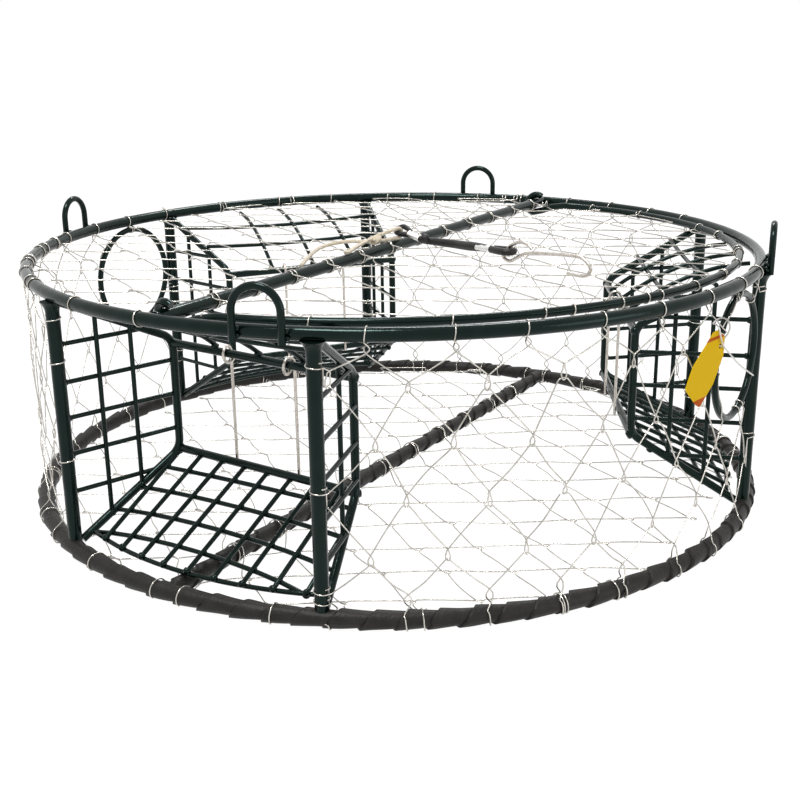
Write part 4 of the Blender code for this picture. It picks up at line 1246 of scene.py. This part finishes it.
def widths(shares):
    """A tube's shape by its width shares at even steps."""
    def shape(way, _):
        place = way * (len(shares) - 1)
        low = min(int(place), len(shares) - 2)
        return shares[low] + (shares[low + 1] - shares[low]) * (place - low)

    return shape


rope_points = smooth([INNER_SLEEVE[0].lerp(INNER_SLEEVE[1], 0.1)] + [Vector(p) for p in ROPE_LINE]
                     + [OUTER_SLEEVE[0].lerp(OUTER_SLEEVE[1], 0.9)], 8)
settle(tube("strap_rope", [rope_points], ROPE, 20, rope_rubber, shape=widths(ROPE_SHARES)),
       "strap", "strap_rubber", "rubber_strap")
settle(tube("strap_stub", [split(list(STUB), 0.0004)], ROPE, 20, rope_rubber,
            shape=widths(STUB_SHARES)), "strap", "strap_rubber")
for name, tip, end, tilt, width in (
        ("strap_inner_loop", INNER_TIP, INNER_SLEEVE[0], INNER_TILT, ROPE_LOOP),
        ("strap_outer_loop", OUTER_TIP, OUTER_SLEEVE[1], 0.0, OUTER_LOOP)):
    settle(tube(name, [smooth(rope_loop(tip, end, tilt), 4)], width, 16, rope_rubber), "strap",
           "strap_rubber")
sleeve("sleeve_inner", INNER_SLEEVE, "lid", "ferrule_inner")
sleeve("sleeve_outer", OUTER_SLEEVE, "strap", "ferrule_outer")
hook_points = [HOOK_FOOT + HOOK_ALONG * along + UP * z for along, z in HOOK_LINE]
settle(tube("hook_wire", [smooth(hook_points, 8)], HOOK_WIRE, 14, drawn_wire), "hook", "steel_rod",
       "hook")

# Card tag on its tie
TAG_AZIMUTH = 48.0
TAG_DIST = 0.3824
TAG_THICK = 0.0008
TAG_OUTLINE = ((-0.0500, 0.1958), (-0.0175, 0.2190), (-0.0105, 0.2200), (0.0042, 0.2119),
               (0.0038, 0.1946), (-0.0119, 0.1721), (-0.0345, 0.1562), (-0.0410, 0.1598),
               (-0.0615, 0.1783))
TAG_HOLE = (-0.0032, 0.2044)
TAG_HOLE_R = 0.0024
TAG_CORNER = 0.0025
TAG_BANDS = ((0.1500, 0.1640), (0.2120, 0.2150))
TAG_YELLOW = (0.78, 0.49, 0.004, 1.0)
TAG_ORANGE = (0.50, 0.09, 0.008, 1.0)
HOLE_SIDES = 20
TIE_CORD = 0.0016
TIE_ROUTE = ((-0.0034, 0.2040, 0.0046), (-0.0055, 0.2090, 0.0032), (-0.0090, 0.2155, 0.0030),
             (-0.0095, 0.2220, 0.0014), (-0.0030, 0.2230, -0.0054), (0.0070, 0.2205, -0.0124),
             (0.0145, 0.2215, -0.0138), (0.0166, 0.2242, -0.0098), (0.0174, 0.2230, -0.0049),
             (0.0180, 0.2175, -0.0018), (0.0145, 0.2110, -0.0020), (0.0060, 0.2065, -0.0028),
             (-0.0010, 0.2047, -0.0030), (-0.0032, 0.2044, -0.0018), (-0.0032, 0.2044, 0.0019))
TIE_END = ((-0.0020, 0.2040, 0.0022), (0.0040, 0.2002, 0.0028), (0.0450, 0.1765, -0.0034),
           (0.1085, 0.1489, -0.0183))


def tag_place(sideways, z, out=0.0):
    return polar(TAG_AZIMUTH, TAG_DIST + out) + polar(TAG_AZIMUTH + 90, sideways) + UP * z


def tag_card():
    """Yellow card with a plain orange foot band and a thin head stripe."""
    material, tree, shader = blank_material("tag_card_yellow")
    shader.inputs["Roughness"].default_value = 0.45
    shader.inputs["Specular IOR Level"].default_value = 0.03
    where = node(tree, "ShaderNodeTexCoord").outputs["Object"]
    parts = node(tree, "ShaderNodeSeparateXYZ")
    tree.links.new(where, parts.inputs["Vector"])
    height = parts.outputs["Z"]
    bands = [maths(tree, "MULTIPLY", maths(tree, "GREATER_THAN", height, low),
                   maths(tree, "LESS_THAN", height, high)) for low, high in TAG_BANDS]
    mix = node(tree, "ShaderNodeMix", data_type="RGBA")
    mix.inputs[6].default_value = TAG_YELLOW
    mix.inputs[7].default_value = TAG_ORANGE
    tree.links.new(maths(tree, "ADD", *bands), mix.inputs["Factor"])
    tree.links.new(mix.outputs[2], shader.inputs["Base Color"])
    grain_bump(tree, shader, where, 500.0, 2.0, 0.0001)
    return material


def tag_mesh():
    """The card's rounded outline and round hole, filled between and given its thickness."""
    corners = [Vector((x, z, 0)) for x, z in TAG_OUTLINE]
    edge = rounded(corners[-1:] + corners + corners[:1], TAG_CORNER, 6)[1:-1]
    angles = [2 * pi * k / HOLE_SIDES for k in range(HOLE_SIDES)]
    hole = [Vector((TAG_HOLE[0] + TAG_HOLE_R * cos(angle),
                    TAG_HOLE[1] + TAG_HOLE_R * sin(angle), 0)) for angle in angles]
    mesh = bmesh.new()
    backs, fronts = [[[mesh.verts.new(tag_place(p.x, p.y, out)) for p in line]
                      for line in (edge, hole)] for out in (0.0, TAG_THICK)]
    for low, high in zip(backs, fronts):
        skin(mesh, [low, high])
    for face in (backs, fronts):
        borders = []
        for line in face:
            borders += [mesh.edges.get((a, b)) for a, b in zip(line, line[1:] + line[:1])]
        bmesh.ops.triangle_fill(mesh, use_beauty=True, use_dissolve=False, edges=borders)
    bmesh.ops.recalc_face_normals(mesh, faces=mesh.faces[:])
    return mesh


tag = mesh_piece("tag_card", tag_mesh(), tag_card())
tag.data.set_sharp_from_angle(angle=radians(40))
settle(tag, "tag", "tag_card", "tag")
tie_points = [tag_place(*stop) for stop in TIE_ROUTE]
tie_path = smooth(tie_points[-1:] + tie_points + tie_points[:2], 5)[5:-10]
settle(tube("tag_tie_string", [tie_path], TIE_CORD, 10, string, closed=True), "tag", "tie_string",
       "tag_tie")
end_path = smooth([tag_place(*stop) for stop in TIE_END], 5)
settle(tube("tag_tie_end", [end_path], TIE_CORD, 10, string), "tag", "tie_string")

# Set: floor, backdrop, world and lamps
WHITE = (1.0, 1.0, 1.0, 1.0)
FLOOR_GLOW = 1.16
GLOW_SHARE = 0.84
WORLD_LIGHT = 0.30
FLOOR_R = 6.0
FLOOR_DROP = 0.0005
LAMP_AIM = Vector((0, 0, 0.1))


def seen_rays(tree):
    """1 for rays that show the background: to the camera, off a gloss or through glass."""
    rays = node(tree, "ShaderNodeLightPath").outputs
    shown = maths(tree, "MAXIMUM", rays["Is Camera Ray"], rays["Is Glossy Ray"])
    return maths(tree, "MAXIMUM", shown, rays["Is Transmission Ray"])


def floor_material():
    """Pale floor that the camera sees nearly white, with the object's shadow kept."""
    material, tree, shader = blank_material("floor_pale")
    shader.inputs["Base Color"].default_value = (0.90, 0.90, 0.90, 1.0)
    shader.inputs["Roughness"].default_value = 0.9
    glow = node(tree, "ShaderNodeEmission", Strength=FLOOR_GLOW)
    glow.inputs["Color"].default_value = WHITE
    mix = node(tree, "ShaderNodeMixShader")
    tree.links.new(maths(tree, "MULTIPLY", seen_rays(tree), GLOW_SHARE), mix.inputs["Fac"])
    tree.links.new(shader.outputs["BSDF"], mix.inputs[1])
    tree.links.new(glow.outputs["Emission"], mix.inputs[2])
    tree.links.new(mix.outputs[0], tree.nodes["Material Output"].inputs["Surface"])
    return material


def make_floor():
    mesh = bmesh.new()
    bmesh.ops.create_circle(mesh, cap_ends=True, segments=64, radius=FLOOR_R)
    floor = mesh_piece("floor", mesh, floor_material())
    floor.location.z = -FLOOR_DROP


def make_world():
    world = bpy.data.worlds.new("studio")
    bpy.context.scene.world = world
    world.use_nodes = True
    tree = world.node_tree
    backdrop = tree.nodes["Background"]
    backdrop.inputs["Color"].default_value = WHITE
    map_range(tree, seen_rays(tree), (WORLD_LIGHT, 1.0), backdrop.inputs["Strength"])


def lamp(name, at, size, power):
    data = bpy.data.lights.new(name, "AREA")
    data.shape = "RECTANGLE"
    data.size, data.size_y = size
    data.energy = power
    made = add_object(name, data)
    made.location = at
    made.rotation_euler = (LAMP_AIM - Vector(at)).to_track_quat("-Z", "Y").to_euler()


make_floor()
make_world()
lamp("key_lamp", (-0.5, -0.9, 2.6), (0.9, 0.7), 56.0)
lamp("fill_lamp", (2.2, -1.5, 0.6), (1.3, 1.3), 11.0)
lamp("back_lamp", (0.3, 1.7, 2.3), (0.9, 0.3), 24.0)
bpy.context.scene.view_settings.view_transform = "Standard"
